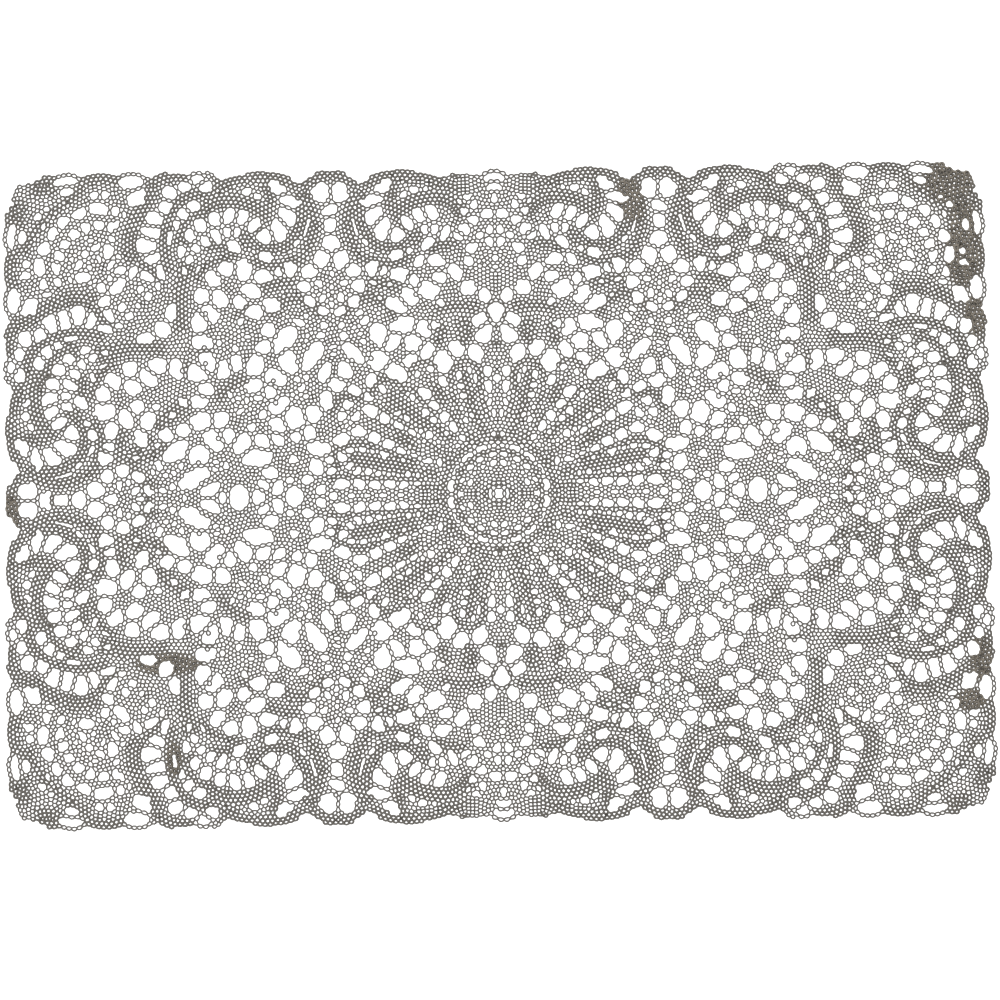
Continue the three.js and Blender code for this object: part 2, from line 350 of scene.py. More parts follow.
ROSETTE_PETAL_GAPS = (
    Gap(58.2, 38.5, 3.3, 2.1, 36),
    Gap(51.5, 34.5, 2.7, 1.9, 40),
    Gap(45.7, 31, 2.6, 1.7, 34),
    Gap(45.7, 37.1, 1.4, 1.3, 0),
    Gap(63.3, 29.1, 3.4, 2.1, 16),
    Gap(56.5, 25.9, 2.8, 2, 13),
    Gap(50.3, 23.1, 2.7, 1.6, 14),
    Gap(44.7, 20.5, 1.9, 1.3, 12),
    Gap(52.2, 18.7, 1.4, 1.3, 0),
    Gap(57.4, 20.5, 1.6, 1.4, 65),
    Gap(64.7, 36, 1.4, 1.4, 0),
    Gap(68.8, 32.2, 1.6, 1.2, -64),
    Gap(70.7, 17.3, 2, 1.6, 24),
    Gap(76.1, 11.2, 2.4, 1.6, -13),
    Gap(59.4, 10.6, 1.9, 1.6, 20),
    Gap(54.8, 9.9, 1.8, 1.3, 5),
    Gap(50.3, 9.4, 1.6, 1.3, 5),
    Gap(45.9, 9, 1.5, 1.3, 5),
    Gap(41.6, 8.6, 1.4, 1.3, 0),
    Gap(37.4, 8, 1.1, 1.0, 0),
    Gap(63.9, 11.4, 1.6, 1.7, 30),
    Gap(68, 13.6, 2.1, 1.2, -10),
    Gap(62, 20.8, 1.9, 1.2, 5),
    Gap(67.2, 20.6, 1.9, 1.5, 0),
    Gap(77.4, 16.6, 1.6, 1.4, 0),
    Gap(43.4, 15.8, 1.1, 1.0, 0),
    Gap(33.5, 46.3, 3.5, 2.4, 31),
    Gap(28.8, 40.6, 2.9, 2, 38),
    Gap(24.5, 35.2, 2.4, 1.4, 44),
    Gap(24.9, 51.7, 2.9, 1.4, 54),
    Gap(4.4, 48.9, 2.7, 1.3, 75),
    Gap(0, 52.7, 1.2, 1.2, 0),
    Gap(0, 61, 1.1, 0.9, 0),
    Gap(9.3, 52.7, 1.4, 0.9, 85),
    Gap(7.7, 47.6, 1.4, 0.8, 85),
    Gap(13.1, 56, 1.3, 1.0, 40),
    Gap(17.4, 49.3, 1.3, 0.8, 0),
    Gap(21, 46.3, 2.1, 1.1, 80),
    Gap(15.8, 45, 1.3, 1.0, 60),
    Gap(12.8, 41.6, 1.3, 0.6, 10),
    Gap(17.5, 39.2, 1.2, 0.9, 60),
    Gap(3.8, 42.5, 1.9, 0.8, 90),
    Gap(6.7, 43.1, 1.2, 0.6, 85),
    Gap(6.4, 38.8, 1.1, 0.6, 80),
    Gap(12.4, 36.2, 1.3, 1.0, 60),
    Gap(14.6, 33.6, 1.5, 0.7, 70),
    Gap(4.8, 34.8, 1.5, 0.6, 80),
    Gap(2.4, 37.4, 1.1, 0.5, 90),
    Gap(30.3, 57.4, 1.9, 0.8, 20),
    Gap(38.6, 45, 1.2, 1.0, 70),
    Gap(35.6, 41, 1.1, 1.0, 0),
    Gap(33, 37.3, 1.7, 0.8, -30),
    Gap(29.2, 34.6, 1.1, 0.7, 80),
    Gap(26.3, 30.6, 0.9, 0.6, 0),
    Gap(38.4, 30.8, 1.1, 0.7, 70),
    Gap(42.2, 34.8, 1.2, 1.1, 0),
    Gap(43.3, 47, 1.5, 0.6, 0),
)
ROSETTE_AXIS_GAPS = (
    Gap(81, 3.1, 2.4, 1.8, -63),
    Gap(49.6, 4.9, 2.6, 1.5, 7),
    Gap(56.4, 5.1, 2.6, 1.8, 11),
    Gap(63.1, 5.5, 2.7, 2, 15),
    Gap(70.7, 5.7, 3.4, 2, 9),
    Gap(42.8, 4.6, 1.9, 1.1, 0),
    Gap(36.5, 4.3, 1.8, 0.9, 0),
    Gap(75.4, 0, 1.8, 1.7, 0),
    Gap(67.1, 0, 1.3, 1.2, 0),
    Gap(60, 0, 0.9, 0.9, 0),
    Gap(53, 0, 0.8, 0.8, 0),
    Gap(46, 0, 0.8, 0.8, 0),
    Gap(17.9, 0, 1.4, 1.2, 90),
    Gap(0, 0, 1.6, 1.5, 0),
)
COIN_GAPS = (
    Gap(3.9, 0, 1.6, 0.5, 90),
    Gap(0, 4, 1.6, 0.4, 0),
    Gap(3.1, 18, 1.3, 1.0, -35),
    Gap(8.6, 15.7, 1.6, 1.0, -50),
    Gap(7.2, 12.5, 1.0, 1.0, 0),
    Gap(2.6, 14, 1.1, 0.9, 0),
    Gap(13.4, 12, 1.3, 0.8, -40),
    Gap(11.2, 9.3, 1.0, 0.8, 0),
    Gap(16.9, 6.6, 1.2, 1.0, 0),
    Gap(13.3, 4.8, 1.0, 0.8, 0),
    Gap(1.9, 27, 1.9, 0.7, 84),
    Gap(4.3, 24.9, 1.3, 0.5, 75),
    Gap(12.9, 21.2, 1.9, 0.5, 15),
    Gap(16.8, 25.6, 1.8, 0.7, 60),
    Gap(18, 22.2, 0.8, 0.6, 0),
    Gap(23.4, 28, 1.3, 0.9, 40),
    Gap(20.8, 31.4, 1.9, 1.1, 60),
    Gap(24.6, 21.8, 1.2, 0.6, 45),
    Gap(27.6, 24.6, 1.1, 0.8, 0),
    Gap(28.9, 21, 1.7, 0.6, 40),
    Gap(31.5, 27, 1.8, 0.8, 82),
    Gap(34.8, 29.6, 1.2, 0.9, 0),
    Gap(34.5, 24.4, 2.2, 0.7, 40),
    Gap(39.6, 28.2, 2.3, 0.9, 38),
    Gap(38.9, 22.6, 1.2, 0.7, 70),
    Gap(32.4, 15.2, 2.0, 0.6, 14),
    Gap(38.2, 17.8, 2.0, 0.8, 28),
    Gap(26.8, 13.6, 1.3, 0.4, 90),
    Gap(31, 3.8, 1.2, 0.6, 0),
)

# Bands in half of a scroll pair. x is the distance from the scroll axis, and each is drawn to both sides.
SCROLL_BANDS = (
    Band(0.8, 146.6, 7, 145.8, 13, 141.8, 3),
    Band(14.8, 142.4, 27, 146.3, 37, 146.6, 3),
    Band(38, 146.6, 45, 145.8, 52, 143.2, 3),
    Band(13, 139, 7.8, 126, 12.2, 112, 3),
    Band(16, 138, 13.2, 128, 15.8, 119.8, 3),
    Band(15.8, 119.6, 24, 113.2, 34, 114.6, 3),
    Band(11.5, 110.6, 24, 105.8, 36, 109.5, 3),
    Band(35.4, 114.6, 38.6, 117.5, 40, 122, 3),
    Band(31, 146, 27.8, 139.5, 27.5, 132.5, 3),
    Band(28, 128, 38, 134.4, 48, 136, 4),
    Band(48, 136, 56, 133.5, 60.5, 127, 4),
    Band(45, 141.2, 53, 141.2, 59, 138.6, 2),
    Band(43, 111.8, 50, 115, 57, 114, 3),
    Band(5, 82.5, 17, 90.5, 28.5, 83, 3),
    Band(16.5, 97.6, 24, 97, 32, 95, 3),
    Band(30.8, 124, 32.5, 122.4, 35, 120.4, 1),
)
# Bands in the upper half of the corner square. Each is repeated across the corner's diagonal.
CORNER_BANDS = (
    Band(133, 139.3, 143.5, 136.2, 149, 127.5, 3),
    Band(149.3, 126.5, 150.8, 116, 149, 104, 3),
    Band(139.5, 129, 143, 122.5, 145, 115.5, 2),
    Band(140.5, 147, 149, 147.4, 157, 143.2, 3),
    Band(156, 141.5, 161, 133, 164.8, 126, 4),
    Band(164.9, 125, 167.2, 118, 165, 108.5, 4),
    Band(163.5, 107.8, 157.5, 105, 153, 99.5, 2),
    Band(171.5, 145.2, 180.5, 146.8, 189, 144.8, 3),
    Band(188, 142, 196.5, 136.3, 203.5, 129.8, 3),
    Band(138.8, 115.4, 140.5, 116.6, 142, 118.2, 1),
    Band(201, 145.7, 206, 146.6, 212, 143.2, 3),
    Band(200.5, 141.2, 206, 142.2, 211.5, 139, 3),
    Band(121, 109.5, 131, 107, 137.5, 100, 2),
    Band(141, 107, 144, 92, 143.5, 76, 4),
)
# Bands that each quarter has once.
NET_BANDS = (
    Band(114, 54.5, 121, 51.5, 127, 44, 3),
    Band(141, 44, 148, 39, 155.5, 33, 4),
    Band(151, 25.5, 158, 20, 170, 18.5, 3),
    Band(2.6, 79.2, 4.1, 83.5, 1.2, 88.6, 1),
    Band(129.5, 66.8, 133.3, 67.2, 137.5, 65.4, 1),
    Band(112.3, 88.6, 114.2, 86.8, 116.5, 85, 1),
    Band(113.5, 81.8, 116, 83.4, 118.6, 83.8, 1),
    Band(40.2, 99.4, 38.6, 100.8, 37.4, 101, 1),
    Band(202.9, 3.4, 203.2, 1.6, 203.2, 0, 1),
    Band(141.2, 63, 141.8, 59, 141.4, 55, 1),
    Band(8, 84.5, 18, 86, 28, 84, 3),
    Band(13, 80, 15, 74, 13, 69.5, 4),
    Band(25, 78, 25.6, 73, 28, 69, 3),
)
ROSETTE_BANDS = (
    Band(38, 11.8, 52, 14.6, 68, 17.2, 4),
    Band(31, 31.5, 40, 37.5, 50, 45.5, 4),
    Band(9, 34, 13, 44, 15, 56, 3),
    Band(33, 6.9, 56, 7.9, 79, 8.9, 1),
    Band(36, 14.8, 47, 19, 57, 22.2, 1),
    Band(57, 22.8, 66, 23.8, 74, 21.3, 2),
    Band(74.2, 20.4, 74.8, 16.5, 72.8, 12.8, 2),
    Band(36, 20.3, 47, 25.2, 60, 31.6, 1),
    Band(37, 25.4, 48, 30.6, 58, 35, 1),
    Band(37, 29.5, 47, 35.6, 57, 42, 1),
    Band(61, 43.8, 69.5, 45.5, 76, 36, 2),
    Band(42, 46.5, 51, 53.5, 58, 45, 2),
    Band(27, 35.8, 33, 41.6, 39, 48.6, 1),
    Band(24, 41, 27, 46, 29, 50.5, 3),
    Band(27.5, 58.2, 33.5, 61, 40.3, 54, 1),
    Band(16.5, 35, 19.5, 42.5, 21.3, 49, 1),
    Band(9.5, 48, 14.5, 61, 20.5, 50, 1),
    Band(4, 33, 7.2, 45, 8.6, 57, 1),
    Band(41, 23.8, 44, 25.5, 47, 27, 3),
    Band(10.5, 24.6, 12.5, 26, 15, 27, 3),
    Band(21.5, 12.5, 23.4, 14.6, 25.5, 16, 3),
    Band(25.4, 0.9, 18, 18, 0.9, 25.4, 1),
    Band(19.6, 0.9, 13.9, 13.9, 0.9, 19.6, 1),
    Band(5.6, 0.8, 4, 4, 0.8, 5.6, 1),
    Band(26, 2.6, 31, 3.4, 36, 3.4, 1),
    Band(27.5, 8.6, 32, 10, 36, 11.4, 2),
    Band(26.5, 19.5, 31, 22.5, 35, 25, 1),
    Band(22, 24.5, 26, 29, 29, 32, 2),
    Band(16.8, 29.5, 19.5, 34, 22, 38, 1),
    Band(6.2, 27.5, 7.6, 31, 8.8, 34, 2),
)

# Single rings that stick into a gap, each from the rings at the gap's edge: x and y of the ring's middle.
PICOTS = (
    Picot(96.2, 67.5), Picot(91.1, 61.5), Picot(107.2, 71.8), Picot(115.8, 61.9), Picot(101.9, 53.1),
    Picot(101, 42.8), Picot(127, 59.6), Picot(133.3, 68.7), Picot(132.8, 61.4), Picot(136.2, 57.3),
    Picot(143.5, 58.2), Picot(132.5, 84.3), Picot(36.8, 91.5), Picot(41.6, 68.8), Picot(57.2, 62.4),
    Picot(66, 62), Picot(81.8, 61.6), Picot(136.5, 40.9), Picot(147, 32), Picot(142, 21.5),
    Picot(136.5, 16.2), Picot(135.9, 7.4), Picot(127.4, 27), Picot(32, 49), Picot(27.5, 42.5),
    Picot(1.8, 73.5), Picot(2.2, 91.8), Picot(25.5, 101.7),
)

# Patches of painted shade, where the shade under the mat that shows through the rings is painted in: the
# strands widen there until the rings half close, and take a tone of their own. x, y, half sizes across and
# up, and turn.
PAINTED_SHADE_PATCHES = (
    Gap(208, 140, 11.5, 10, 0),
    Gap(214, 122, 6, 10, 0),
    Gap(214.5, 107, 8.5, 16, 0),
    Gap(219, 78, 5, 9, 0),
    Gap(62.5, 134, 6, 11, 14),
    Gap(218, -78, 5, 11, 0),
    Gap(213, -97, 7, 5, 0),
    Gap(-222, -6, 4, 9, 0),
    Gap(-151, -75, 15, 5, 0),
    Gap(-149, -118, 3.5, 8, 0),
)

# Lengths from here to the strands are in mm, and a ring length is the distance between rings that just touch.

# The grid of distances
GRID_STEP = 0.25
GRID_MARGIN = 3.0
# A gap is measured in a window that reaches this far past its edges, and the outline in strips along the rim.
GAP_WINDOW = 5.0
BACK_STRIP = 12.0
SIDE_STRIP = 17.0
# How far past the middle lines the outline and the gaps are drawn
OUTLINE_MARGIN = 12.0
AXIS_MARGIN = 8.0
# How far from the corner's diagonal a gap has to be to get a mirror image across it
DIAGONAL_MARGIN = 1.0
# The distance that cells get where nothing is near
FAR = 9.0
FLAT_TOLERANCE = 0.01
TINY = 1e-9

# The coin in the middle. A crescent's reach and bend are in degrees.
FINE_RADIUS = (24.0, 38.0)
COIN_RADIUS = 26.0
CRESCENT_COUNT = 18
CRESCENT_RADIUS = 22.4
CRESCENT_REACH = 3.3
CRESCENT_BEND = 15
CRESCENT_HALF_SIZES = (1.2, 0.8)

# Gaps cut through the solid are grown by this much.
CUT_GAP_GROWTH = 0.1
# A narrow wall between two gaps has this much room on its middle line, and falls off at least this steeply
# over this many cells.
RIDGE_LOW, RIDGE_HIGH = 0.25, 1.5
RIDGE_SLOPE = 0.35
RIDGE_CELLS = 2

# Chains, which are bands of one row, bands and picots
CHAIN_PITCH = 2.4
CHAIN_WIDTH = 2.1
CHAIN_ROOM = 0.95
PICOT_ROOM = 0.8
BAND_PITCH = 2.2
BAND_ROW = 1.6
# A band's middle place is moved aside by this much, so that a straight band has a circle too.
BAND_BOW = 0.01
# Distance between the rows of a hexagonal packing, in ring lengths
HEXAGON_ROW = 0.866
# The room that a ring of a band or chain needs, and its least distance to the rings before it in ring lengths
BAND_SEED_ROOM = 0.7
CHAIN_SEED_ROOM = 0.45
BAND_SEED_GAP = 0.72

# Rows of rings along the edges of gaps: the length and width of their rings as a share of the pitch, how far
# the edges' directions are blurred and reach out of a gap and into it, and how much they have to agree
ROW_STRETCH = 1.10
ROW_SQUEEZE = 0.92
ROW_BLUR = 1.6
ROW_FADE = 3.0
ROW_DEPTH = 0.5
ROW_CLEAR, ROW_PLAIN = 0.45, 0.12
# How many cells the sizes of rings in chains and bands are blended over, and how strongly on a chain
BLEND_CELLS = 2
CHAIN_BLEND = 4

# Packing. Each round has the least distance between rings, in ring lengths, and whether it keeps to narrow
# walls.
SITE_CLEARANCE = 0.74
PACK_REACH = 6.0
PACKING_ROUNDS = ((0.95, True), (0.93, False), (0.72, True), (0.86, False))
# The score that stands for a missing second neighbour, and the one for a place that isn't free
POOR_FIT = 3.0
TAKEN = 99.0

# Settling. Pairs of rings are found again every few steps.
PAIR_ROUND = 8
PAIR_REACH = 4.2
AXIS_REACH = 4
PUSH, PULL, PULL_REACH = 0.30, 0.10, 1.1
GAP_PUSH = 0.45
LONGEST_MOVE = 0.25
BAND_GIVE = 0.15

# The network. The first three are in ring lengths, and the arcs' turns are in degrees and in radians.
LONGEST_WALL = 1.45
WIDEST_JUNCTION = 0.715
FREE_SIDE_RADIUS = 0.41
FREE_END = 0.32
JUNCTION_SHIFT = 0.35
ARC_STEP = 48.0
ARC_BLEND = 0.75
MOST_ARC_POINTS = 7

# Strands. The mitre limit is in half widths, and the patches of painted shade end and fade at these shares of
# their size.
MITRE_LIMIT = 1.4
SHADE_PATCH_EDGE, SHADE_PATCH_FADE = 1.15, 0.3

# Light and camera, in metres and degrees. The lean is for each metre of the camera's distance.
LAMP_SIZE = 1.6
LAMP_PLACE = (-0.5, 0.7, 1.9)
CAMERA_LEAN = (0.0085, 0.0377)
CAMERA_AIM = (0.00047, -0.0030, 0.0005)
CAMERA_ROLL = 0.90

# Where the lace is parted into six pieces, and how far the outer ones may reach past the mat's edges
OVERHANG = 20.0
COLUMNS = (-HALF_LENGTH - OVERHANG, -HALF_LENGTH / 3, HALF_LENGTH / 3, HALF_LENGTH + OVERHANG)
ROWS = (-HALF_WIDTH - OVERHANG, 0.0, HALF_WIDTH + OVERHANG)
COLUMN_NAMES = ("left", "middle", "right")
ROW_NAMES = ("front", "back")


class LaceSizes(bpy.types.PropertyGroup):
    """Sizes of the moulded rings."""

    ring_pitch: FloatProperty(
        name="Ring pitch", description="Distance between ring middles",
        default=0.00187, min=0.001, unit="LENGTH",
    )
    centre_pitch: FloatProperty(
        name="Centre pitch", description="Ring pitch in the middle coin",
        default=0.0017, min=0.001, unit="LENGTH",
    )
    edge_room: FloatProperty(
        name="Edge room", description="From a gap's edge to the middle of the ring beside it",
        default=0.00083, min=0.0005, unit="LENGTH",
    )
    strand_width: FloatProperty(
        name="Strand width", description="Width of a strand", default=0.00076, min=0.0002, unit="LENGTH"
    )
    band_strand_width: FloatProperty(
        name="Band strand width", description="Width of a strand in the close bands",
        default=0.00104, min=0.0002, unit="LENGTH",
    )
    # Wider strands in the patches of painted shade, so that the rings half close where shade shows through
    # them.
    shade_patch_strand_width: FloatProperty(
        name="Thick strand width", description="Width of a strand where the moulding ran thick",
        default=0.00136, min=0.0002, unit="LENGTH",
    )
    width_variation: FloatProperty(
        name="Width variation", description="Share by which strands differ in width",
        default=0.07, min=0.0, max=0.3,
    )
    side_height: FloatProperty(
        name="Side height",
        description="Height of a strand's widest line, as a share of the sheet's thickness",
        default=0.42, min=0.1, max=0.9,
    )
    settling_steps: IntProperty(
        name="Settling steps", description="Rounds in which the rings push each other into place",
        default=120, min=0,
    )
    seed: IntProperty(name="Seed", description="Seed of the small variations", default=7)


class VinylFinish(bpy.types.PropertyGroup):
    """Colours and gloss of the moulded vinyl, with the tone of its painted shade patches."""

    colour: FloatVectorProperty(
        name="Vinyl colour", description="Taupe grey of the strands", subtype="COLOR", size=3, min=0, max=1,
        default=(0.082, 0.075, 0.065),
    )
    # Tone of the patches of painted shade, which stand for the shade under the mat seen through the rings.
    shade_patch_colour: FloatVectorProperty(
        name="Thick vinyl colour", description="Deeper tone where the moulding ran thick",
        subtype="COLOR", size=3, min=0, max=1, default=(0.112, 0.098, 0.078),
    )
    roughness: FloatProperty(
        name="Roughness", description="Roughness of the satin surface", default=0.5, min=0, max=1
    )


class StageLook(bpy.types.PropertyGroup):
    """Floor, light and camera."""

    floor_size: FloatProperty(
        name="Floor size", description="Side of the floor", default=80.0, min=1.0, unit="LENGTH"
    )
    floor_colour: FloatVectorProperty(
        name="Floor colour", description="Pale floor", subtype="COLOR", size=3, min=0, max=1,
        default=(0.92, 0.92, 0.92),
    )
    floor_glow: FloatProperty(
        name="Floor glow", description="Brightness that the white floor has of its own", default=0.4, min=0
    )
    sky_strength: FloatProperty(
        name="Sky strength", description="Soft light from all round", default=0.75, min=0
    )
    key_power: FloatProperty(
        name="Key power", description="Power of the overhead soft box in watts", default=55.0, min=0
    )
    camera_distance: FloatProperty(
        name="Camera distance", description="Camera to the middle of the mat",
        default=0.9, min=0.2, unit="LENGTH",
    )
    view_width: FloatProperty(
        name="View width", description="Width of the surface that the picture takes in",
        default=0.4552, min=0.1, unit="LENGTH",
    )


def top_face_loops(node):
    """The edge loops of a node's upper face in mm, anticlockwise outline first and the gaps after it."""
    mesh = node.data
    points = np.empty(len(mesh.vertices) * 3, np.float32)
    mesh.vertices.foreach_get("co", points)
    points = points.reshape(-1, 3).astype(float) / MM
    corners = np.empty(len(mesh.loops), np.int32)
    mesh.loops.foreach_get("vertex_index", corners)
    flat, same = np.unique(np.round(points[:, :2], 3), axis=0, return_inverse=True)
    same = same.ravel()
    triangles = corners.reshape(-1, 3)
    upper = (points[triangles][:, :, 2] > points[:, 2].max() - FLAT_TOLERANCE).all(axis=1)
    triangles = same[triangles[upper]]
    sides = {(a, b) for t in triangles.tolist() for a, b in ((t[0], t[1]), (t[1], t[2]), (t[2], t[0]))}
    following = {a: b for a, b in sides if (b, a) not in sides}
    loops = []
    while following:
        start, at = following.popitem()
        loop = [start]
        while at != start:
            loop.append(at)
            at = following.pop(at)
        loops.append(flat[loop])
    loops.sort(key=lambda loop: -np.ptp(loop[:, 0]))
    return loops[0], sorted(loops[1:], key=lambda loop: tuple(loop.min(axis=0)))


def mirrored(gap):
    """A gap on the other side of the scroll axis."""
    return gap._replace(x=2 * SCROLL_AXIS - gap.x, turn=-gap.turn)


def swapped(gap):
    """A gap across the corner's diagonal."""
    return Gap(gap.y + SCROLL_AXIS, gap.x - SCROLL_AXIS, gap.long, gap.wide, 90 - gap.turn)


def quarter_gaps():
    """The small gaps of one quarter of the mat."""
    gaps = []
    for row in SCROLL_HEAD_GAPS + SCROLL_FOOT_GAPS:
        gap = row._replace(x=SCROLL_AXIS + row.x)
        gaps += [gap, swapped(gap)]
        if row.x > 0:
            gaps.append(mirrored(gap))
    for gap in SCROLL_TAIL_GAPS + CORNER_FAN_GAPS + CORNER_NET_GAPS:
        gaps.append(gap)
        if abs(gap.x - SCROLL_AXIS - gap.y) > DIAGONAL_MARGIN:
            gaps.append(swapped(gap))
    once = (
        NET_GAPS, NET_PINHOLES, EDGE_MIDDLE_GAPS,
        ROSETTE_RIM_GAPS, ROSETTE_PETAL_GAPS, ROSETTE_AXIS_GAPS, COIN_GAPS,
    )
    return gaps + [gap for table in once for gap in table] + crescents()


def crescents():
    """The crescents round the middle, each of two ovals that bend towards it."""
    gaps = []
    for number in range(CRESCENT_COUNT):
        middle = (number + 0.5) * 360 / CRESCENT_COUNT
        for side in (-1, 1):
            angle = math.radians(middle + side * CRESCENT_REACH)
            x, y = CRESCENT_RADIUS * math.cos(angle), CRESCENT_RADIUS * math.sin(angle)
            if x > -AXIS_MARGIN and y > -AXIS_MARGIN:
                gaps.append(Gap(x, y, *CRESCENT_HALF_SIZES, middle + 90 + side * CRESCENT_BEND))
    return gaps


def band_places(band):
    """The three places that a band's centre line runs through."""
    return (band.x0, band.y0), (band.x1, band.y1), (band.x2, band.y2)


def circle_middle(a, b, c):
    """The middle of a circle through three places, and four times their area, below 0 if clockwise."""
    fourfold = 2 * (a[0] * (b[1] - c[1]) + b[0] * (c[1] - a[1]) + c[0] * (a[1] - b[1]))
    squares = [p[0] ** 2 + p[1] ** 2 for p in (a, b, c)]
    x = (squares[0] * (b - c)[1] + squares[1] * (c - a)[1] + squares[2] * (a - b)[1]) / fourfold
    y = (squares[0] * (c - b)[0] + squares[1] * (a - c)[0] + squares[2] * (b - a)[0]) / fourfold
    return x, y, fourfold


def swapped_band(band):
    """A band across the corner's diagonal."""
    places = [(y + SCROLL_AXIS, x - SCROLL_AXIS) for x, y in band_places(band)]
    return Band(*(value for place in places for value in place), band.rows)


def quarter_bands():
    """The bands of one quarter of the mat."""
    bands = []
    for row in SCROLL_BANDS:
        right = row._replace(x0=SCROLL_AXIS + row.x0, x1=SCROLL_AXIS + row.x1, x2=SCROLL_AXIS + row.x2)
        left = row._replace(x0=SCROLL_AXIS - row.x0, x1=SCROLL_AXIS - row.x1, x2=SCROLL_AXIS - row.x2)
        bands += [right, left, swapped_band(right)]
    for band in CORNER_BANDS:
        bands += [band, swapped_band(band)]
    return bands + list(NET_BANDS + ROSETTE_BANDS)


def band_circle(band):
    """The circle that a band's centre line follows: middle, radius, first angle and the turn to its end."""
    a, b, c = (np.array(place, float) for place in band_places(band))
    b += BAND_BOW * np.array([a[1] - c[1], c[0] - a[0]]) / np.hypot(*(c - a))
    *middle, area = circle_middle(a, b, c)
    middle = np.array(middle)
    first = math.atan2(*(a - middle)[::-1])
    turn = (math.atan2(*(c - middle)[::-1]) - first) % (2 * math.pi)
    if area < 0:
        turn -= 2 * math.pi
    return middle, float(np.hypot(*(a - middle))), first, turn


def band_rings(band):
    """Ring middles of a band. Its rows start a quarter and three quarters of a ring in, in turn."""
    middle, radius, first, turn = band_circle(band)
    count = max(1, round(radius * abs(turn) / BAND_PITCH))
    rings = []
    for row in range(band.rows):
        share = (np.arange(count) + 0.25 + 0.5 * (row % 2)) / count
        angle = first + turn * share
        reach = radius + (row - (band.rows - 1) / 2) * BAND_ROW
        rings.append(middle + reach * np.stack([np.cos(angle), np.sin(angle)], 1))
    return np.vstack(rings)


def oval(gap, sides=20):
    """The outline of an oval gap."""
    turn = np.linspace(0, 2 * np.pi, sides, endpoint=False)
    along, across = gap.long * np.cos(turn), gap.wide * np.sin(turn)
    c, s = math.cos(math.radians(gap.turn)), math.sin(math.radians(gap.turn))
    return np.stack([gap.x + along * c - across * s, gap.y + along * s + across * c], 1)


def distance_to(loop, x, y):
    """Distance from grid points to a closed loop, below 0 inside it."""
    nearest = np.full(x.shape, 1e9)
    inside = np.zeros(x.shape, bool)
    for (ax, ay), (bx, by) in zip(loop, np.roll(loop, -1, 0)):
        dx, dy = bx - ax, by - ay
        share = np.clip(((x - ax) * dx + (y - ay) * dy) / (dx * dx + dy * dy + 1e-12), 0, 1)
        np.minimum(nearest, (x - ax - share * dx) ** 2 + (y - ay - share * dy) ** 2, out=nearest)
        if ay != by:
            inside ^= ((ay > y) != (by > y)) & (x < ax + (y - ay) * dx / dy)
    return np.where(inside, -1.0, 1.0) * np.sqrt(nearest)


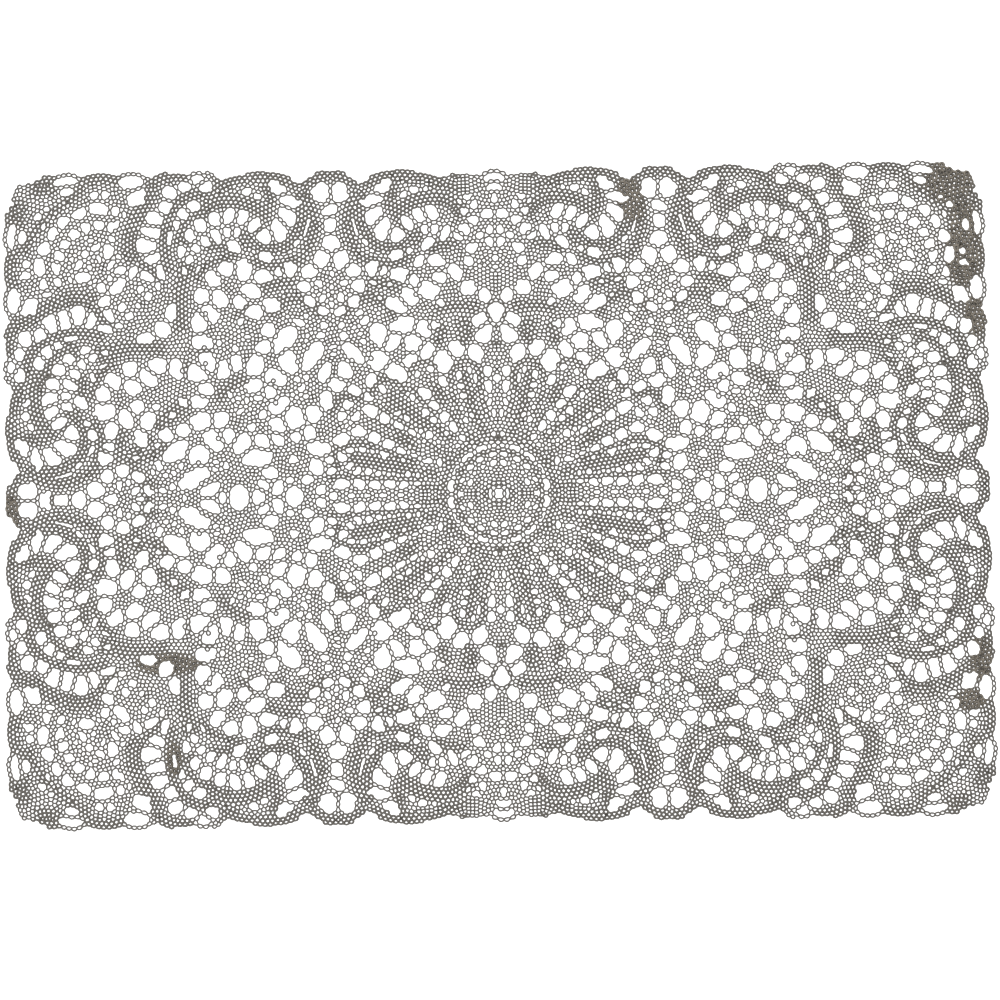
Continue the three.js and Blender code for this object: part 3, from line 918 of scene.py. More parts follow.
class Clearance:
    """A grid over one quarter of the mat that holds the distance to the nearest gap or to the outline."""

    def __init__(self, outline, gaps):
        self.low = -GRID_MARGIN
        self.x = np.arange(self.low, HALF_LENGTH + GRID_MARGIN + 1, GRID_STEP)
        self.y = np.arange(self.low, HALF_WIDTH + GRID_MARGIN + 1, GRID_STEP)
        self.room = np.full((len(self.y), len(self.x)), FAR)
        for loop, cut in gaps:
            growth = CUT_GAP_GROWTH if cut else 0.0
            self.lower(
                loop.min(0) - GAP_WINDOW, loop.max(0) + GAP_WINDOW,
                lambda x, y: distance_to(loop, x, y) - growth,
            )
        start = int(np.argmin(outline.sum(1)))
        outline = np.roll(outline, -start, 0)
        near = outline[(outline > -OUTLINE_MARGIN).all(axis=1)]
        quarter = np.vstack([near, [[-OUTLINE_MARGIN, -OUTLINE_MARGIN]]])
        corner = np.array([HALF_LENGTH + GAP_WINDOW, HALF_WIDTH + GAP_WINDOW])
        for low in ((self.low, HALF_WIDTH - BACK_STRIP), (HALF_LENGTH - SIDE_STRIP, self.low)):
            self.lower(np.array(low), corner, lambda x, y: -distance_to(quarter, x, y))

    def lower(self, low, high, distance):
        """Takes the smaller of what a window of the grid holds and a new distance."""
        i0, j0 = np.maximum(0, ((low - self.low) / GRID_STEP).astype(int))
        i1, j1 = np.maximum(0, ((high - self.low) / GRID_STEP).astype(int) + 2)
        x, y = np.meshgrid(self.x[i0:i1], self.y[j0:j1])
        if x.size:
            window = self.room[j0:j1, i0:i1]
            np.minimum(window, distance(x, y), out=window)

    def beside(self, band):
        """Each grid cell's angle round a band's circle, and its distance from the band's centre line."""
        middle, radius, first, turn = band_circle(band)
        x, y = np.meshgrid(self.x - middle[0], self.y - middle[1])
        angle = np.arctan2(y, x)
        sweep = (angle - first) % (2 * np.pi) if turn > 0 else (first - angle) % (2 * np.pi)
        return angle, np.where(sweep < abs(turn), np.abs(np.hypot(x, y) - radius), FAR)

    def make_room_for_chains(self, bands):
        """Parts the gaps where a chain, which is a band of one row, runs between them."""
        for band in bands:
            if band.rows == 1:
                self.room = np.maximum(self.room, CHAIN_ROOM - self.beside(band)[1])

    def make_room_for_picots(self, picots):
        """Parts the gaps where a single ring sticks into them."""
        x, y = np.meshgrid(self.x, self.y)
        for picot in picots:
            self.room = np.maximum(self.room, PICOT_ROOM - np.hypot(x - picot.x, y - picot.y))

    def find_rows(self, sizes, bands):
        """Finds which way rows of rings run, along the gaps' edges, and how long and wide a ring is there."""
        slope_y, slope_x = np.gradient(self.room, GRID_STEP)
        weight = np.exp(-np.maximum(self.room, 0) / ROW_FADE) * (self.room > -ROW_DEPTH)
        cells = int(ROW_BLUR / GRID_STEP)
        xx = blurred(weight * slope_x * slope_x, cells)
        xy = blurred(weight * slope_x * slope_y, cells)
        yy = blurred(weight * slope_y * slope_y, cells)
        spread = np.hypot(xx - yy, 2 * xy)
        clear = np.clip((spread / (xx + yy + TINY) - ROW_PLAIN) / (ROW_CLEAR - ROW_PLAIN), 0, 1)
        across = 0.5 * np.arctan2(2 * xy, xx - yy)
        x, y = np.meshgrid(self.x, self.y)
        pitch = ring_pitch(x, y, sizes)
        chain = np.clip(CHAIN_BLEND * blurred(narrow_walls(self.room).astype(float), BLEND_CELLS), 0, 1)
        along_size = pitch * (1 + (ROW_STRETCH - 1) * clear) * (1 - chain) + CHAIN_PITCH * chain
        across_size = pitch * (1 + (ROW_SQUEEZE - 1) * clear) * (1 - chain) + CHAIN_WIDTH * chain
        self.dense = np.zeros(self.room.shape)
        for band in bands:
            angle, off_line = self.beside(band)
            inside = off_line < 0.5 * band.rows * BAND_ROW
            across[inside] = angle[inside]
            along_size[inside] = BAND_PITCH
            across_size[inside] = BAND_ROW / HEXAGON_ROW
            self.dense[inside] = 1.0
        self.dense = blurred(self.dense, BLEND_CELLS)
        c, s = np.cos(across), np.sin(across)
        self.metric = np.stack([
            (c / across_size) ** 2 + (s / along_size) ** 2,
            c * s * (across_size ** -2 - along_size ** -2),
            (s / across_size) ** 2 + (c / along_size) ** 2,
        ])

    def metric_at(self, places):
        """The ring metric at places in any quarter."""
        most = [len(self.x) - 1, len(self.y) - 1]
        cell = np.clip(np.round((np.abs(places) - self.low) / GRID_STEP).astype(int), 0, most)
        metric = self.metric[:, cell[:, 1], cell[:, 0]].copy()
        metric[1] *= np.sign(places[:, 0] * places[:, 1])
        return metric

    def steps_between(self, start, end):
        """How many rings long the way from start to end is."""
        xx, xy, yy = self.metric_at(0.5 * (start + end))
        dx, dy = (end - start).T
        return np.sqrt(xx * dx * dx + 2 * xy * dx * dy + yy * dy * dy)

    def smooth(self):
        """Rounds off the grid, so that rings settle evenly."""
        room = self.room.copy()
        for _ in range(2):
            room[1:-1] = 0.25 * room[:-2] + 0.5 * room[1:-1] + 0.25 * room[2:]
            room[:, 1:-1] = 0.25 * room[:, :-2] + 0.5 * room[:, 1:-1] + 0.25 * room[:, 2:]
        self.room = room

    def at(self, points):
        """The room at points, and the direction in which it grows."""
        size = np.array([len(self.x), len(self.y)]) - 1.001
        place = np.clip((points - self.low) / GRID_STEP, 0, size)
        i, j = place.astype(int).T
        u, v = (place - np.floor(place)).T
        a, b = self.room[j, i], self.room[j, i + 1]
        c, d = self.room[j + 1, i], self.room[j + 1, i + 1]
        room = a * (1 - u) * (1 - v) + b * u * (1 - v) + c * (1 - u) * v + d * u * v
        slope = np.stack([(b - a) * (1 - v) + (d - c) * v, (c - a) * (1 - u) + (d - b) * u], 1) / GRID_STEP
        return room, slope


def ring_pitch(x, y, sizes):
    """Distance between ring middles, finer in the middle coin."""
    share = np.clip((np.hypot(x, y) - FINE_RADIUS[0]) / (FINE_RADIUS[1] - FINE_RADIUS[0]), 0, 1)
    fine, wide = sizes.centre_pitch / MM, sizes.ring_pitch / MM
    return fine + (wide - fine) * share * share * (3 - 2 * share)


def blurred(values, cells):
    """Values smoothed by three passes of a box of that many cells to each side."""
    width = 2 * cells + 1
    for _ in range(3):
        for _ in (0, 1):
            padded = np.pad(values, ((cells + 1, cells), (0, 0)), mode="edge")
            padded[0] = 0
            total = np.cumsum(padded, axis=0)
            values = ((total[width:] - total[:-width]) / width).T
    return values


def narrow_walls(room):
    """Grid cells on the middle line of a narrow wall between two gaps."""
    found = np.zeros(room.shape, bool)
    reach = RIDGE_CELLS
    padded = np.pad(room, reach, constant_values=-FAR)
    height, width = room.shape
    for dx, dy in ((1, 0), (0, 1), (1, 1), (1, -1)):
        up, left = reach + reach * dy, reach + reach * dx
        down, right = reach - reach * dy, reach - reach * dx
        ahead = padded[up:up + height, left:left + width]
        behind = padded[down:down + height, right:right + width]
        drop = np.minimum(room - ahead, room - behind)
        found |= drop > RIDGE_SLOPE * reach * GRID_STEP * math.hypot(dx, dy)
    return found & (room < RIDGE_HIGH) & (room > RIDGE_LOW)


def pack_rings(clearance, sizes, bands, picots):
    """Places the rings of bands and picots, and then others one by one where they touch the rest best."""
    x, y = np.meshgrid(clearance.x, clearance.y)
    xx, xy, yy = clearance.metric
    pitch = sizes.ring_pitch / MM
    walls = narrow_walls(clearance.room)
    edge_room = sizes.edge_room / MM
    best = np.where(walls, 0, np.abs(clearance.room - edge_room))
    second = np.full(x.shape, POOR_FIT)
    nearest = np.full(x.shape, FAR)
    for across, share in ((x, xx), (y, yy)):
        steps = 2 * across * np.sqrt(share)
        nearest = np.minimum(nearest, np.where(np.abs(across) < 1e-6, FAR, steps))
        touch = np.abs(steps - 1) * pitch
        second = np.minimum(second, np.maximum(best, touch))
        best = np.minimum(best, touch)
    base = (x >= -1e-6) & (y >= -1e-6) & ((clearance.room >= SITE_CLEARANCE) | walls)
    score = np.full(x.shape, TAKEN)
    cells = int(PACK_REACH / GRID_STEP)
    sites = []

    def place(site, allowed=None, closest=0.0):
        sites.append(site)
        for mx, my in ((site[0], site[1]), (-site[0], site[1]), (site[0], -site[1]), (-site[0], -site[1])):
            if mx < -PACK_REACH or my < -PACK_REACH:
                continue
            ci, cj = (int(round((v - clearance.low) / GRID_STEP)) for v in (mx, my))
            part = tuple(slice(max(0, k - cells), max(0, k + cells + 1)) for k in (cj, ci))
            dx, dy = x[part] - mx, y[part] - my
            steps = np.sqrt(xx[part] * dx * dx + 2 * xy[part] * dx * dy + yy[part] * dy * dy)
            nearest[part] = np.minimum(nearest[part], steps)
            touch = np.abs(steps - 1) * pitch
            second[part] = np.minimum(second[part], np.maximum(best[part], touch))
            best[part] = np.minimum(best[part], touch)
            if allowed is not None:
                free = allowed[part] & (nearest[part] >= closest)
                score[part] = np.where(free, best[part] + second[part], TAKEN)

    for band in bands:
        room_needed = BAND_SEED_ROOM if band.rows > 1 else CHAIN_SEED_ROOM
        for ring in band_rings(band):
            i, j = (int(round((v - clearance.low) / GRID_STEP)) for v in ring)
            if min(ring) < 0 or j >= len(clearance.y) or i >= len(clearance.x):
                continue
            if clearance.room[j, i] >= room_needed and nearest[j, i] >= BAND_SEED_GAP:
                place((float(ring[0]), float(ring[1])))
    for picot in picots:
        i, j = (int(round((v - clearance.low) / GRID_STEP)) for v in picot)
        if nearest[j, i] >= BAND_SEED_GAP:
            place((picot.x, picot.y))
    held = len(sites)
    for closest, on_walls in PACKING_ROUNDS:
        allowed = base & walls if on_walls else base
        score[:] = np.where(allowed & (nearest >= closest), best + second, TAKEN)
        while score.min() < TAKEN:
            j, i = divmod(int(score.argmin()), len(clearance.x))
            place((max(0.0, clearance.x[i]), max(0.0, clearance.y[j])), allowed, closest)
    return np.array(sites), held


def close_pairs(points, reach):
    """Pairs of points nearer to each other than reach, found cell by cell."""
    cell = np.floor(points / reach).astype(np.int64)
    cell -= cell.min(0) - 1
    row = int(cell[:, 0].max()) + 3
    key = cell[:, 1] * row + cell[:, 0]
    order = np.argsort(key, kind="stable")
    ranked = key[order]
    found = []
    for step in (0, 1, row - 1, row, row + 1):
        first = np.searchsorted(ranked, key + step)
        count = np.searchsorted(ranked, key + step, side="right") - first
        a = np.repeat(np.arange(len(points)), count)
        offset = np.arange(count.sum()) - np.repeat(np.cumsum(count) - count, count)
        b = order[np.repeat(first, count) + offset]
        keep = a < b if step == 0 else np.ones(len(a), bool)
        found.append(np.stack([a[keep], b[keep]], 1))
    pairs = np.vstack(found)
    away = points[pairs[:, 0]] - points[pairs[:, 1]]
    return pairs[np.hypot(away[:, 0], away[:, 1]) < reach]


def settle_rings(sites, held, clearance, sizes):
    """Lets the rings push and pull each other, and the gaps and mirror images, into an even lace."""
    points = sites.copy()
    on_axis = points == 0
    edge_room = sizes.edge_room / MM
    for step in range(sizes.settling_steps):
        if step % PAIR_ROUND == 0:
            owner, sign = [np.arange(len(points))], [np.ones((len(points), 2))]
            for sx, sy in ((-1, 1), (1, -1), (-1, -1)):
                near = np.ones(len(points), bool)
                for flip, axis in ((sx, 0), (sy, 1)):
                    if flip < 0:
                        near &= (points[:, axis] < AXIS_REACH) & ~on_axis[:, axis]
                owner.append(np.nonzero(near)[0])
                sign.append(np.tile([float(sx), float(sy)], (int(near.sum()), 1)))
            owner, sign = np.concatenate(owner), np.vstack(sign)
            pairs = close_pairs(points[owner] * sign, PAIR_REACH)
            pairs = pairs[(pairs < len(points)).any(axis=1)]
        ghosts = points[owner] * sign
        a, b = pairs.T
        apart = ghosts[b] - ghosts[a]
        length = np.hypot(apart[:, 0], apart[:, 1]) + TINY
        short = (1 - clearance.steps_between(ghosts[a], ghosts[b])) * sizes.ring_pitch / MM
        force = np.where(short > 0, PUSH * short, np.where(short > -PULL_REACH, PULL * short, 0.0))
        force = apart * (force / length)[:, None]
        move = np.zeros_like(ghosts)
        for axis in (0, 1):
            at_end, at_start = (np.bincount(end, force[:, axis], len(ghosts)) for end in (b, a))
            move[:, axis] = at_end - at_start
        move = move[:len(points)]
        move[:held] *= BAND_GIVE
        room, slope = clearance.at(points)
        steep = np.hypot(slope[:, 0], slope[:, 1]) + 1e-6
        lack = edge_room - room
        push = np.where(lack > 0, GAP_PUSH * lack, 0.0)
        move += slope * (push * np.minimum(1, steep) / steep)[:, None]
        points = points + np.clip(move, -LONGEST_MOVE, LONGEST_MOVE)
        points[on_axis] = 0
        points = np.abs(points)
    return points


def all_quarters(points):
    """The points of one quarter in all four, those on an axis once."""
    parts = []
    for sx, sy in ((1, 1), (-1, 1), (-1, -1), (1, -1)):
        keep = np.ones(len(points), bool)
        if sx < 0:
            keep &= points[:, 0] > 0
        if sy < 0:
            keep &= points[:, 1] > 0
        parts.append(points[keep] * [sx, sy])
    return np.vstack(parts)


def triangles_between(points):
    """Delaunay triangles of the ring middles, all anticlockwise."""
    _, _, faces, origin, _, _ = delaunay_2d_cdt([Vector(p) for p in points.tolist()], [], [], 0, 1e-6, True)
    first = np.array([o[0] for o in origin])
    triangles = first[np.array(faces)]
    a, b, c = (points[triangles[:, k]] for k in range(3))
    turn = (b[:, 0] - a[:, 0]) * (c[:, 1] - a[:, 1]) - (b[:, 1] - a[:, 1]) * (c[:, 0] - a[:, 0])
    triangles[turn < 0] = triangles[turn < 0][:, ::-1]
    return triangles


def ring_network(points, triangles, clearance, sizes):
    """Strand points and their links. Rings that touch share a wall, and a ring's free side is an arc."""
    count = len(points)
    pitch = ring_pitch(points[:, 0], points[:, 1], sizes)

    ends = [(triangles[:, k], triangles[:, (k + 1) % 3]) for k in range(3)]
    sides = [clearance.steps_between(points[i], points[j]) for i, j in ends]
    touching = [side <= LONGEST_WALL for side in sides]
    half = sum(sides) / 2
    area = np.sqrt(np.maximum(half * (half - sides[0]) * (half - sides[1]) * (half - sides[2]), TINY))
    radius = sides[0] * sides[1] * sides[2] / (4 * area)
    closed = touching[0] & touching[1] & touching[2] & (radius <= WIDEST_JUNCTION)

    wall = np.concatenate(touching + touching)
    source = np.concatenate([i for i, _ in ends] + [j for _, j in ends])[wall]
    target = np.concatenate([j for _, j in ends] + [i for i, _ in ends])[wall]
    key = np.unique(source.astype(np.int64) * count + target)
    source, target = key // count, key % count
    reverse = np.searchsorted(key, target * count + source)
    side_key = np.concatenate([i.astype(np.int64) * count + j for i, j in ends])
    side_owner = np.tile(np.arange(len(triangles)), 3)
    order = np.argsort(side_key)
    place = np.minimum(np.searchsorted(side_key[order], key), len(order) - 1)
    left = np.where(side_key[order][place] == key, side_owner[order][place], -1)
    joined = (left >= 0) & closed[left]

    away = points[target] - points[source]
    angle = np.arctan2(away[:, 1], away[:, 0])
    order = np.lexsort((angle, source))
    rank = np.empty(len(order), int)
    rank[order] = np.arange(len(order))
    first = np.searchsorted(source[order], source)
    last = np.searchsorted(source[order], source, side="right")
    following = order[np.where(rank + 1 >= last, first, rank + 1)]

    junctions = np.nonzero(closed)[0]
    a, b, c = (points[triangles[junctions, k]] for k in range(3))
    centre = (a + b + c) / 3
    round_x, round_y, _ = circle_middle(a.T, b.T, c.T)
    shift = np.stack([round_x, round_y], 1) - centre
    long = np.hypot(shift[:, 0], shift[:, 1])
    knots = [centre + shift * np.minimum(1, JUNCTION_SHIFT / np.maximum(long, TINY))[:, None]]
    junction_of = np.full(len(triangles) + 1, -1)
    junction_of[junctions] = np.arange(len(junctions))
    total = len(junctions)

    middle = 0.5 * (points[source] + points[target])
    length = np.hypot(away[:, 0], away[:, 1])
    across = np.stack([-away[:, 1], away[:, 0]], 1) / length[:, None]
    scale = 0.5 * (pitch[source] + pitch[target]) / (sizes.ring_pitch / MM)
    end = np.where(joined, junction_of[left], 0)
    free = np.nonzero(~joined)[0]
    knots.append((middle + across * (FREE_END * scale)[:, None])[free])
    end[free] = total + np.arange(len(free))
    total += len(free)

    once = np.nonzero(source < target)[0]
    so_far = np.vstack(knots)
    links = [np.stack([end[once], end[reverse[once]]], 1)]

    back = reverse[following]
    site = points[source[free]]
    ray0 = so_far[end[free]] - site
    ray1 = so_far[end[back[free]]] - site
    start = np.arctan2(ray0[:, 1], ray0[:, 0])
    span = (np.arctan2(ray1[:, 1], ray1[:, 0]) - start) % (2 * np.pi)
    inner = np.clip(np.round(np.degrees(span) / ARC_STEP).astype(int) - 1, 0, MOST_ARC_POINTS)
    metric = clearance.metric_at(site)
    for number in np.unique(inner):
        rows = np.nonzero(inner == number)[0]
        share = (np.arange(1, number + 1) / (number + 1))[None, :]
        turn = start[rows][:, None] + span[rows][:, None] * share
        plain = (np.hypot(*ray0[rows].T)[:, None] * (1 - share) + np.hypot(*ray1[rows].T)[:, None] * share)
        blend = np.clip(np.minimum(share, 1 - share) * span[rows][:, None] / ARC_BLEND, 0, 1)
        xx, xy, yy = (part[rows][:, None] for part in metric)
        ct, st = np.cos(turn), np.sin(turn)
        side = FREE_SIDE_RADIUS / np.sqrt(xx * ct * ct + 2 * xy * ct * st + yy * st * st)
        radius = plain * (1 - blend) + side * blend
        arc = site[rows][:, None, :] + np.stack([radius * np.cos(turn), radius * np.sin(turn)], 2)
        numbers = total + np.arange(len(rows) * number).reshape(len(rows), number)
        knots.append(arc.reshape(-1, 2))
        total += len(rows) * number
        chain = np.concatenate([end[free[rows]][:, None], numbers, end[back[free[rows]]][:, None]], 1)
        links += [chain[:, k:k + 2] for k in range(number + 1)]
    return np.vstack(knots), np.vstack(links)


def connected_part(count, links):
    """The links that hang together with most of the lace."""
    label = np.arange(count)
    while True:
        low = np.minimum(label[links[:, 0]], label[links[:, 1]])
        lowered = label.copy()
        np.minimum.at(lowered, links[:, 0], low)
        np.minimum.at(lowered, links[:, 1], low)
        lowered = lowered[lowered]
        if (lowered == label).all():
            break
        label = lowered
    of_link = label[links[:, 0]]
    main = np.bincount(of_link).argmax()
    return links[of_link == main]


def strand_shell(points, links, half_widths, thickness, side_height):
    """A closed skin round a flat network of strands: its points and its faces of four and three corners."""
    used, links = np.unique(links, return_inverse=True)
    links = links.reshape(-1, 2)
    points, half = points[used], half_widths[used]
    count, half_links = len(used), len(links)
    start = np.concatenate([links[:, 0], links[:, 1]])
    end = np.concatenate([links[:, 1], links[:, 0]])
    twin = np.concatenate([np.arange(half_links) + half_links, np.arange(half_links)])
    along = points[end] - points[start]
    angle = np.arctan2(along[:, 1], along[:, 0])
    order = np.lexsort((angle, start))
    rank = np.empty(len(order), int)
    rank[order] = np.arange(len(order))
    first = np.searchsorted(start[order], start)
    degree = np.bincount(start, minlength=count)[start]
    following = order[first + (rank - first + 1) % degree]
    before = order[first + (rank - first - 1) % degree]
    turn = (angle[following] - angle) % (2 * np.pi)
    lone = degree == 1
    turn[lone] = np.pi
    bisector = angle + turn / 2
    reach = half[start] * np.minimum(MITRE_LIMIT, 1 / np.maximum(np.sin(turn / 2), 1e-6))
    corner = points[start] + np.stack([np.cos(bisector), np.sin(bisector)], 1) * reach[:, None]
    ends = np.nonzero(lone)[0]
    far_side = angle[ends] - np.pi / 2
    outward = np.stack([np.cos(far_side), np.sin(far_side)], 1)
    extra = points[start[ends]] + outward * half[start[ends]][:, None]

    left = 2 * count + np.arange(len(start))
    right = left[before]
    right[ends] = 2 * count + len(start) + np.arange(len(ends))
    top, bottom = start, count + start
    quads = np.vstack([
        np.stack([top, top[twin], right[twin], left], 1),
        np.stack([bottom, left, right[twin], bottom[twin]], 1),
    ])
    caps = np.vstack([
        np.stack([top[ends], left[ends], right[ends]], 1),
        np.stack([bottom[ends], right[ends], left[ends]], 1),
    ])
    flat = np.vstack([points, points, corner, extra])
    height = np.full(len(flat), thickness * side_height)
    height[:count] = thickness
    height[count:2 * count] = 0.0
    owner = np.concatenate([np.arange(count), np.arange(count), start, start[ends]])
    return np.column_stack([flat, height]), quads, caps, used[owner]


def shell_object(name, points, quads, caps, shade_patch_share):
    """A smooth mesh object from a skin in mm. The last argument says how strongly each point lies in a patch
    of painted shade.
    """
    mesh = bpy.data.meshes.new(name)
    mesh.vertices.add(len(points))
    mesh.vertices.foreach_set("co", (points * MM).astype(np.float32).ravel())
    corners = np.concatenate([quads.ravel(), caps.ravel()]).astype(np.int32)
    mesh.loops.add(len(corners))
    mesh.loops.foreach_set("vertex_index", corners)
    mesh.polygons.add(len(quads) + len(caps))
    starts = np.concatenate([4 * np.arange(len(quads)), 4 * len(quads) + 3 * np.arange(len(caps))])
    mesh.polygons.foreach_set("loop_start", starts.astype(np.int32))
    mesh.update(calc_edges=True)
    mesh.polygons.foreach_set("use_smooth", np.ones(len(mesh.polygons), bool))
    # Stores each point's share of painted shade patch, which the vinyl reads for its painted shade tone and
    # shadow dots.
    mesh.attributes.new("painted_shade_share", "FLOAT", "POINT").data.foreach_set("value", shade_patch_share.astype(np.float32))
    if mesh.validate():
        raise RuntimeError(f"{name} has faces that don't fit together")
    piece = bpy.data.objects.new(name, mesh)
    bpy.context.scene.collection.objects.link(piece)
    return piece


def dense_at(clearance, points):
    """From 0 to 1, how closely the rings stand in bands at points."""
    most = [len(clearance.x) - 1, len(clearance.y) - 1]
    cell = np.clip(np.round((np.abs(points) - clearance.low) / GRID_STEP).astype(int), 0, most)
    return clearance.dense[cell[:, 1], cell[:, 0]]


def painted_shade_share(points):
    """From 0 to 1, how strongly points lie in a patch of painted shade."""
    shade_share = np.zeros(len(points))
    for shade_patch in PAINTED_SHADE_PATCHES:
        c, s = math.cos(math.radians(shade_patch.turn)), math.sin(math.radians(shade_patch.turn))
        away = points - [shade_patch.x, shade_patch.y]
        along = (away[:, 0] * c + away[:, 1] * s) / shade_patch.long
        across = (away[:, 1] * c - away[:, 0] * s) / shade_patch.wide
        shade_share = np.maximum(shade_share, np.clip((SHADE_PATCH_EDGE - np.hypot(along, across)) / SHADE_PATCH_FADE, 0, 1))
    return shade_share


def lace_layout(sizes):
    """Strand points, links and ring middles of the whole mat."""
    outline, cut_gaps = top_face_loops(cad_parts["placemat"])
    loops = [
        (loop, True) for loop in cut_gaps
        if (loop.max(0) > -1).all() and np.hypot(*loop.mean(0)) > COIN_RADIUS
    ]
    for gap in quarter_gaps():
        loop = oval(gap)
        loops.append((loop, False))
        if gap.x < AXIS_MARGIN:
            loops.append((loop * [-1, 1], False))
        if gap.y < AXIS_MARGIN:
            loops.append((loop * [1, -1], False))
    clearance = Clearance(outline, loops)
    bands = quarter_bands()
    clearance.make_room_for_chains(bands)
    clearance.make_room_for_picots(PICOTS)
    clearance.find_rows(sizes, bands)
    sites, held = pack_rings(clearance, sizes, bands, PICOTS)
    clearance.smooth()
    rings = all_quarters(settle_rings(sites, held, clearance, sizes))
    knots, links = ring_network(rings, triangles_between(rings), clearance, sizes)
    return knots, connected_part(len(knots), links), rings, clearance


def node_of(tree, kind, place, **values):
    """A new shader node at a place in the editor, with values for its sockets or settings."""
    node = tree.nodes.new(kind)
    node.location = place
    for name, value in values.items():
        setattr(node, name, value)
    return node


def vinyl_material(finish):
    """Satin moulded vinyl with a slightly uneven tone and a fine skin, and painted shade: a tone and dots of
    painted shadow in the patches where shade shows through the rings.
    """
    material = bpy.data.materials.new("moulded_vinyl")
    material.use_nodes = True
    tree = material.node_tree
    shader = tree.nodes["Principled BSDF"]
    where = node_of(tree, "ShaderNodeTexCoord", (-1000, 0))
    tone = node_of(tree, "ShaderNodeTexNoise", (-800, 200))
    tone.inputs["Scale"].default_value = 45.0
    tone.inputs["Detail"].default_value = 3.0
    # The share of painted shade patch mixes in the painted shade tone.
    shade_patch_share = node_of(tree, "ShaderNodeAttribute", (-800, 480), attribute_name="painted_shade_share")
    colour = node_of(tree, "ShaderNodeMix", (-560, 420), data_type="RGBA")
    colour.inputs["A"].default_value = (*finish.colour, 1)
    colour.inputs["B"].default_value = (*finish.shade_patch_colour, 1)
    shade = node_of(tree, "ShaderNodeMapRange", (-560, 160))
    shade.inputs["To Min"].default_value = 0.86
    shade.inputs["To Max"].default_value = 1.14
    toned = node_of(tree, "ShaderNodeMix", (-320, 320), data_type="RGBA", blend_type="MULTIPLY")
    toned.inputs["Factor"].default_value = 1.0
    # Dots of painted shadow in the rings, mostly darker and some a little lighter, only in the patches of
    # painted shade.
    shadow_dot_noise = node_of(tree, "ShaderNodeTexNoise", (-560, 760))
    shadow_dot_noise.inputs["Scale"].default_value = 800.0
    shadow_dot_noise.inputs["Detail"].default_value = 1.0
    painted_shadow_dots = node_of(tree, "ShaderNodeMapRange", (-320, 700))
    painted_shadow_dots.inputs["From Min"].default_value = 0.42
    painted_shadow_dots.inputs["From Max"].default_value = 0.58
    painted_shadow_dots.inputs["To Min"].default_value = 0.5
    painted_shadow_dots.inputs["To Max"].default_value = 1.15
    with_shadow_dots = node_of(tree, "ShaderNodeMix", (-120, 480), data_type="RGBA", blend_type="MULTIPLY")
    skin = node_of(tree, "ShaderNodeTexNoise", (-800, -160))
    skin.inputs["Scale"].default_value = 2600.0
    skin.inputs["Detail"].default_value = 2.0
    bump = node_of(tree, "ShaderNodeBump", (-320, -160))
    bump.inputs["Strength"].default_value = 0.25
    bump.inputs["Distance"].default_value = 0.00006
    rough = node_of(tree, "ShaderNodeMapRange", (-320, 60))
    rough.inputs["To Min"].default_value = finish.roughness - 0.08
    rough.inputs["To Max"].default_value = finish.roughness + 0.1
    link = tree.links.new
    link(where.outputs["Object"], tone.inputs["Vector"])
    link(where.outputs["Object"], skin.inputs["Vector"])
    link(shade_patch_share.outputs["Fac"], colour.inputs["Factor"])
    link(tone.outputs["Fac"], shade.inputs["Value"])
    link(colour.outputs["Result"], toned.inputs["A"])
    link(shade.outputs["Result"], toned.inputs["B"])
    link(where.outputs["Object"], shadow_dot_noise.inputs["Vector"])
    link(shadow_dot_noise.outputs["Fac"], painted_shadow_dots.inputs["Value"])
    link(shade_patch_share.outputs["Fac"], with_shadow_dots.inputs["Factor"])
    link(toned.outputs["Result"], with_shadow_dots.inputs["A"])
    link(painted_shadow_dots.outputs["Result"], with_shadow_dots.inputs["B"])
    link(with_shadow_dots.outputs["Result"], shader.inputs["Base Color"])
    link(tone.outputs["Fac"], rough.inputs["Value"])
    link(rough.outputs["Result"], shader.inputs["Roughness"])
    link(skin.outputs["Fac"], bump.inputs["Height"])
    link(bump.outputs["Normal"], shader.inputs["Normal"])
    shader.inputs["Specular IOR Level"].default_value = 0.35
    return material


class PLACEMAT_OT_lace(bpy.types.Operator):
    """Builds the ring lace of the whole mat."""

    bl_idname = "placemat.lace"
    bl_label = "Add Ring Lace"

    def execute(self, context):
        sizes, finish = context.scene.lace_sizes, context.scene.vinyl_finish
        low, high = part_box("placemat")
        thickness = (high.z - low.z) / MM
        knots, links, rings, clearance = lace_layout(sizes)
        rng = np.random.default_rng(sizes.seed)
        shade_share = painted_shade_share(knots)
        close = dense_at(clearance, knots)
        width = sizes.strand_width + (sizes.band_strand_width - sizes.strand_width) * close
        # Strands widen in the patches of painted shade, and the rings half close there.
        half = 0.5 * (width + (sizes.shade_patch_strand_width - width) * shade_share) / MM
        half *= 1 + sizes.width_variation * rng.uniform(-1, 1, len(knots))
        material = vinyl_material(finish)
        middle = 0.5 * (knots[links[:, 0]] + knots[links[:, 1]])
        column = np.searchsorted(COLUMNS, middle[:, 0]) - 1
        row = np.searchsorted(ROWS, middle[:, 1]) - 1
        triangles = 0
        for r, row_name in enumerate(ROW_NAMES):
            for c, column_name in enumerate(COLUMN_NAMES):
                part = links[(column == c) & (row == r)]
                points, quads, caps, owner = strand_shell(knots, part, half, thickness, sizes.side_height)
                piece = shell_object(f"lace_{row_name}_{column_name}", points, quads, caps, shade_share[owner])
                piece.data.materials.append(material)
                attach(piece, "root")
                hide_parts("placemat")
                triangles += 2 * len(quads) + len(caps)
        print(f"lace: {len(rings)} rings, {triangles} triangles")
        return {"FINISHED"}


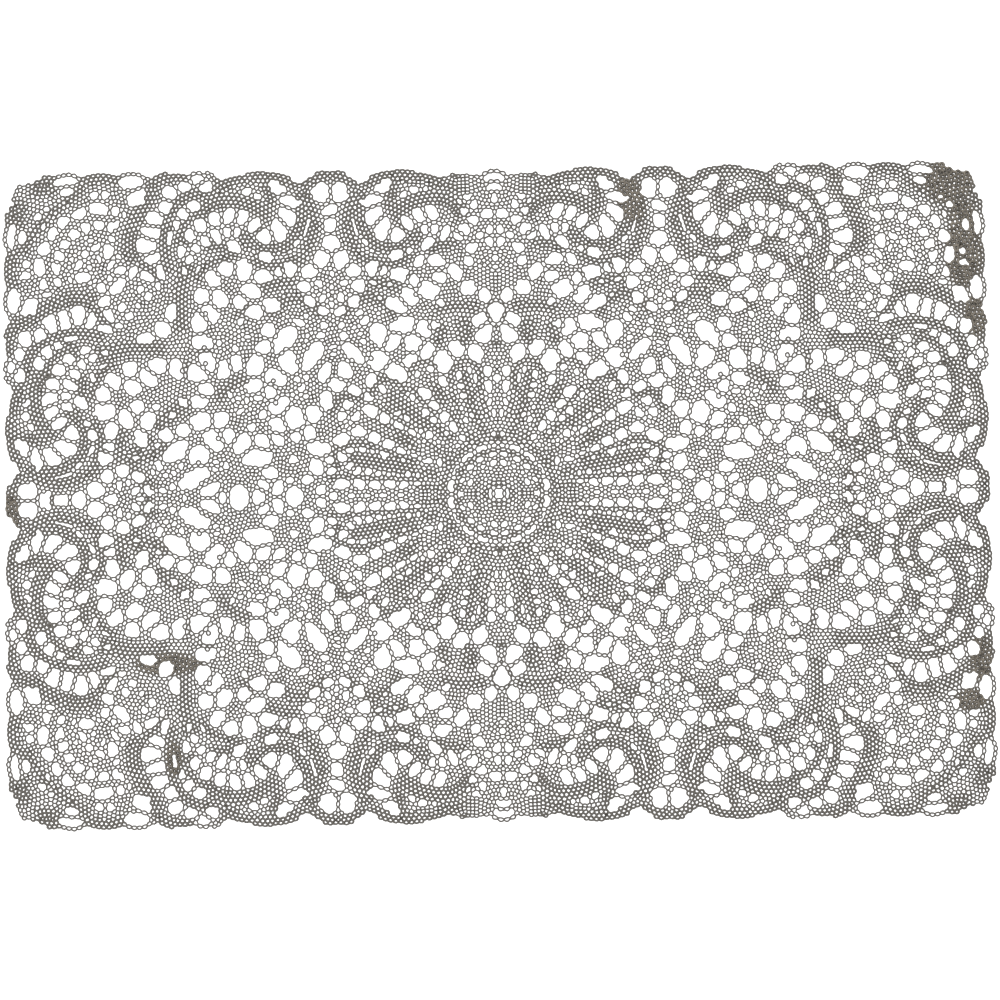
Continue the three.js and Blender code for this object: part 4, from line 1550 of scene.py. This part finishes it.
class PLACEMAT_OT_stage(bpy.types.Operator):
    """Adds the pale floor, the soft light and the camera."""

    bl_idname = "placemat.stage"
    bl_label = "Add Floor, Light and Camera"

    def execute(self, context):
        look = context.scene.stage_look
        self.add_floor(look)
        self.add_light(context, look)
        self.add_camera(context, look)
        return {"FINISHED"}

    def add_floor(self, look):
        mesh = bpy.data.meshes.new("floor")
        half = look.floor_size / 2
        corners = [(-half, -half, 0), (half, -half, 0), (half, half, 0), (-half, half, 0)]
        mesh.from_pydata(corners, [], [(0, 1, 2, 3)])
        floor = bpy.data.objects.new("floor", mesh)
        bpy.context.scene.collection.objects.link(floor)
        material = bpy.data.materials.new("pale_floor")
        material.use_nodes = True
        shader = material.node_tree.nodes["Principled BSDF"]
        shader.inputs["Base Color"].default_value = (*look.floor_colour, 1)
        shader.inputs["Roughness"].default_value = 0.9
        shader.inputs["Specular IOR Level"].default_value = 0.0
        shader.inputs["Emission Color"].default_value = (1, 1, 1, 1)
        shader.inputs["Emission Strength"].default_value = look.floor_glow
        mesh.materials.append(material)

    def add_light(self, context, look):
        world = bpy.data.worlds.new("soft_sky")
        world.use_nodes = True
        world.node_tree.nodes["Background"].inputs["Color"].default_value = (1, 1, 1, 1)
        world.node_tree.nodes["Background"].inputs["Strength"].default_value = look.sky_strength
        context.scene.world = world
        lamp = bpy.data.lights.new("overhead_softbox", "AREA")
        lamp.energy = look.key_power
        lamp.size = LAMP_SIZE
        box = bpy.data.objects.new("overhead_softbox", lamp)
        box.location = LAMP_PLACE
        box.rotation_euler = (Vector((0, 0, 0)) - box.location).to_track_quat("-Z", "Y").to_euler()
        context.scene.collection.objects.link(box)

    def add_camera(self, context, look):
        camera = bpy.data.cameras.new("camera")
        camera.lens = camera.sensor_width * look.camera_distance / look.view_width
        holder = bpy.data.objects.new("camera", camera)
        context.scene.collection.objects.link(holder)
        lean_x, lean_y = (lean * look.camera_distance for lean in CAMERA_LEAN)
        back = Vector((-lean_x, -lean_y, math.sqrt(1 - lean_x ** 2 - lean_y ** 2)))
        holder.location = Vector(CAMERA_AIM) + back * look.camera_distance
        roll = math.radians(CAMERA_ROLL)
        up = Vector((math.sin(roll), math.cos(roll), 0))
        right = up.cross(back).normalized()
        up = back.cross(right)
        turn = holder.rotation_euler.to_matrix()
        for k in range(3):
            turn[k] = (right[k], up[k], back[k])
        holder.rotation_euler = turn.to_euler()
        context.scene.camera = holder
        context.scene.view_settings.view_transform = "Standard"


class PLACEMAT_PT_panel(bpy.types.Panel):
    """Lists the sizes, the finish and the steps of the placemat."""

    bl_label = "Lace Placemat"
    bl_space_type = "VIEW_3D"
    bl_region_type = "UI"
    bl_category = "Placemat"

    def draw(self, context):
        for group in ("lace_sizes", "vinyl_finish", "stage_look"):
            values = getattr(context.scene, group)
            for name in values.bl_rna.properties.keys():
                if name not in ("rna_type", "name"):
                    self.layout.prop(values, name)
        self.layout.operator(PLACEMAT_OT_lace.bl_idname)
        self.layout.operator(PLACEMAT_OT_stage.bl_idname)


CLASSES = (LaceSizes, VinylFinish, StageLook, PLACEMAT_OT_lace, PLACEMAT_OT_stage, PLACEMAT_PT_panel)


def register():
    for item in CLASSES:
        bpy.utils.register_class(item)
    bpy.types.Scene.lace_sizes = PointerProperty(type=LaceSizes)
    bpy.types.Scene.vinyl_finish = PointerProperty(type=VinylFinish)
    bpy.types.Scene.stage_look = PointerProperty(type=StageLook)


def unregister():
    del bpy.types.Scene.stage_look, bpy.types.Scene.vinyl_finish, bpy.types.Scene.lace_sizes
    for item in reversed(CLASSES):
        bpy.utils.unregister_class(item)


def main():
    register()
    bpy.ops.placemat.stage()
    bpy.ops.placemat.lace()
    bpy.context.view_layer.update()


if __name__ == "__main__":
    main()
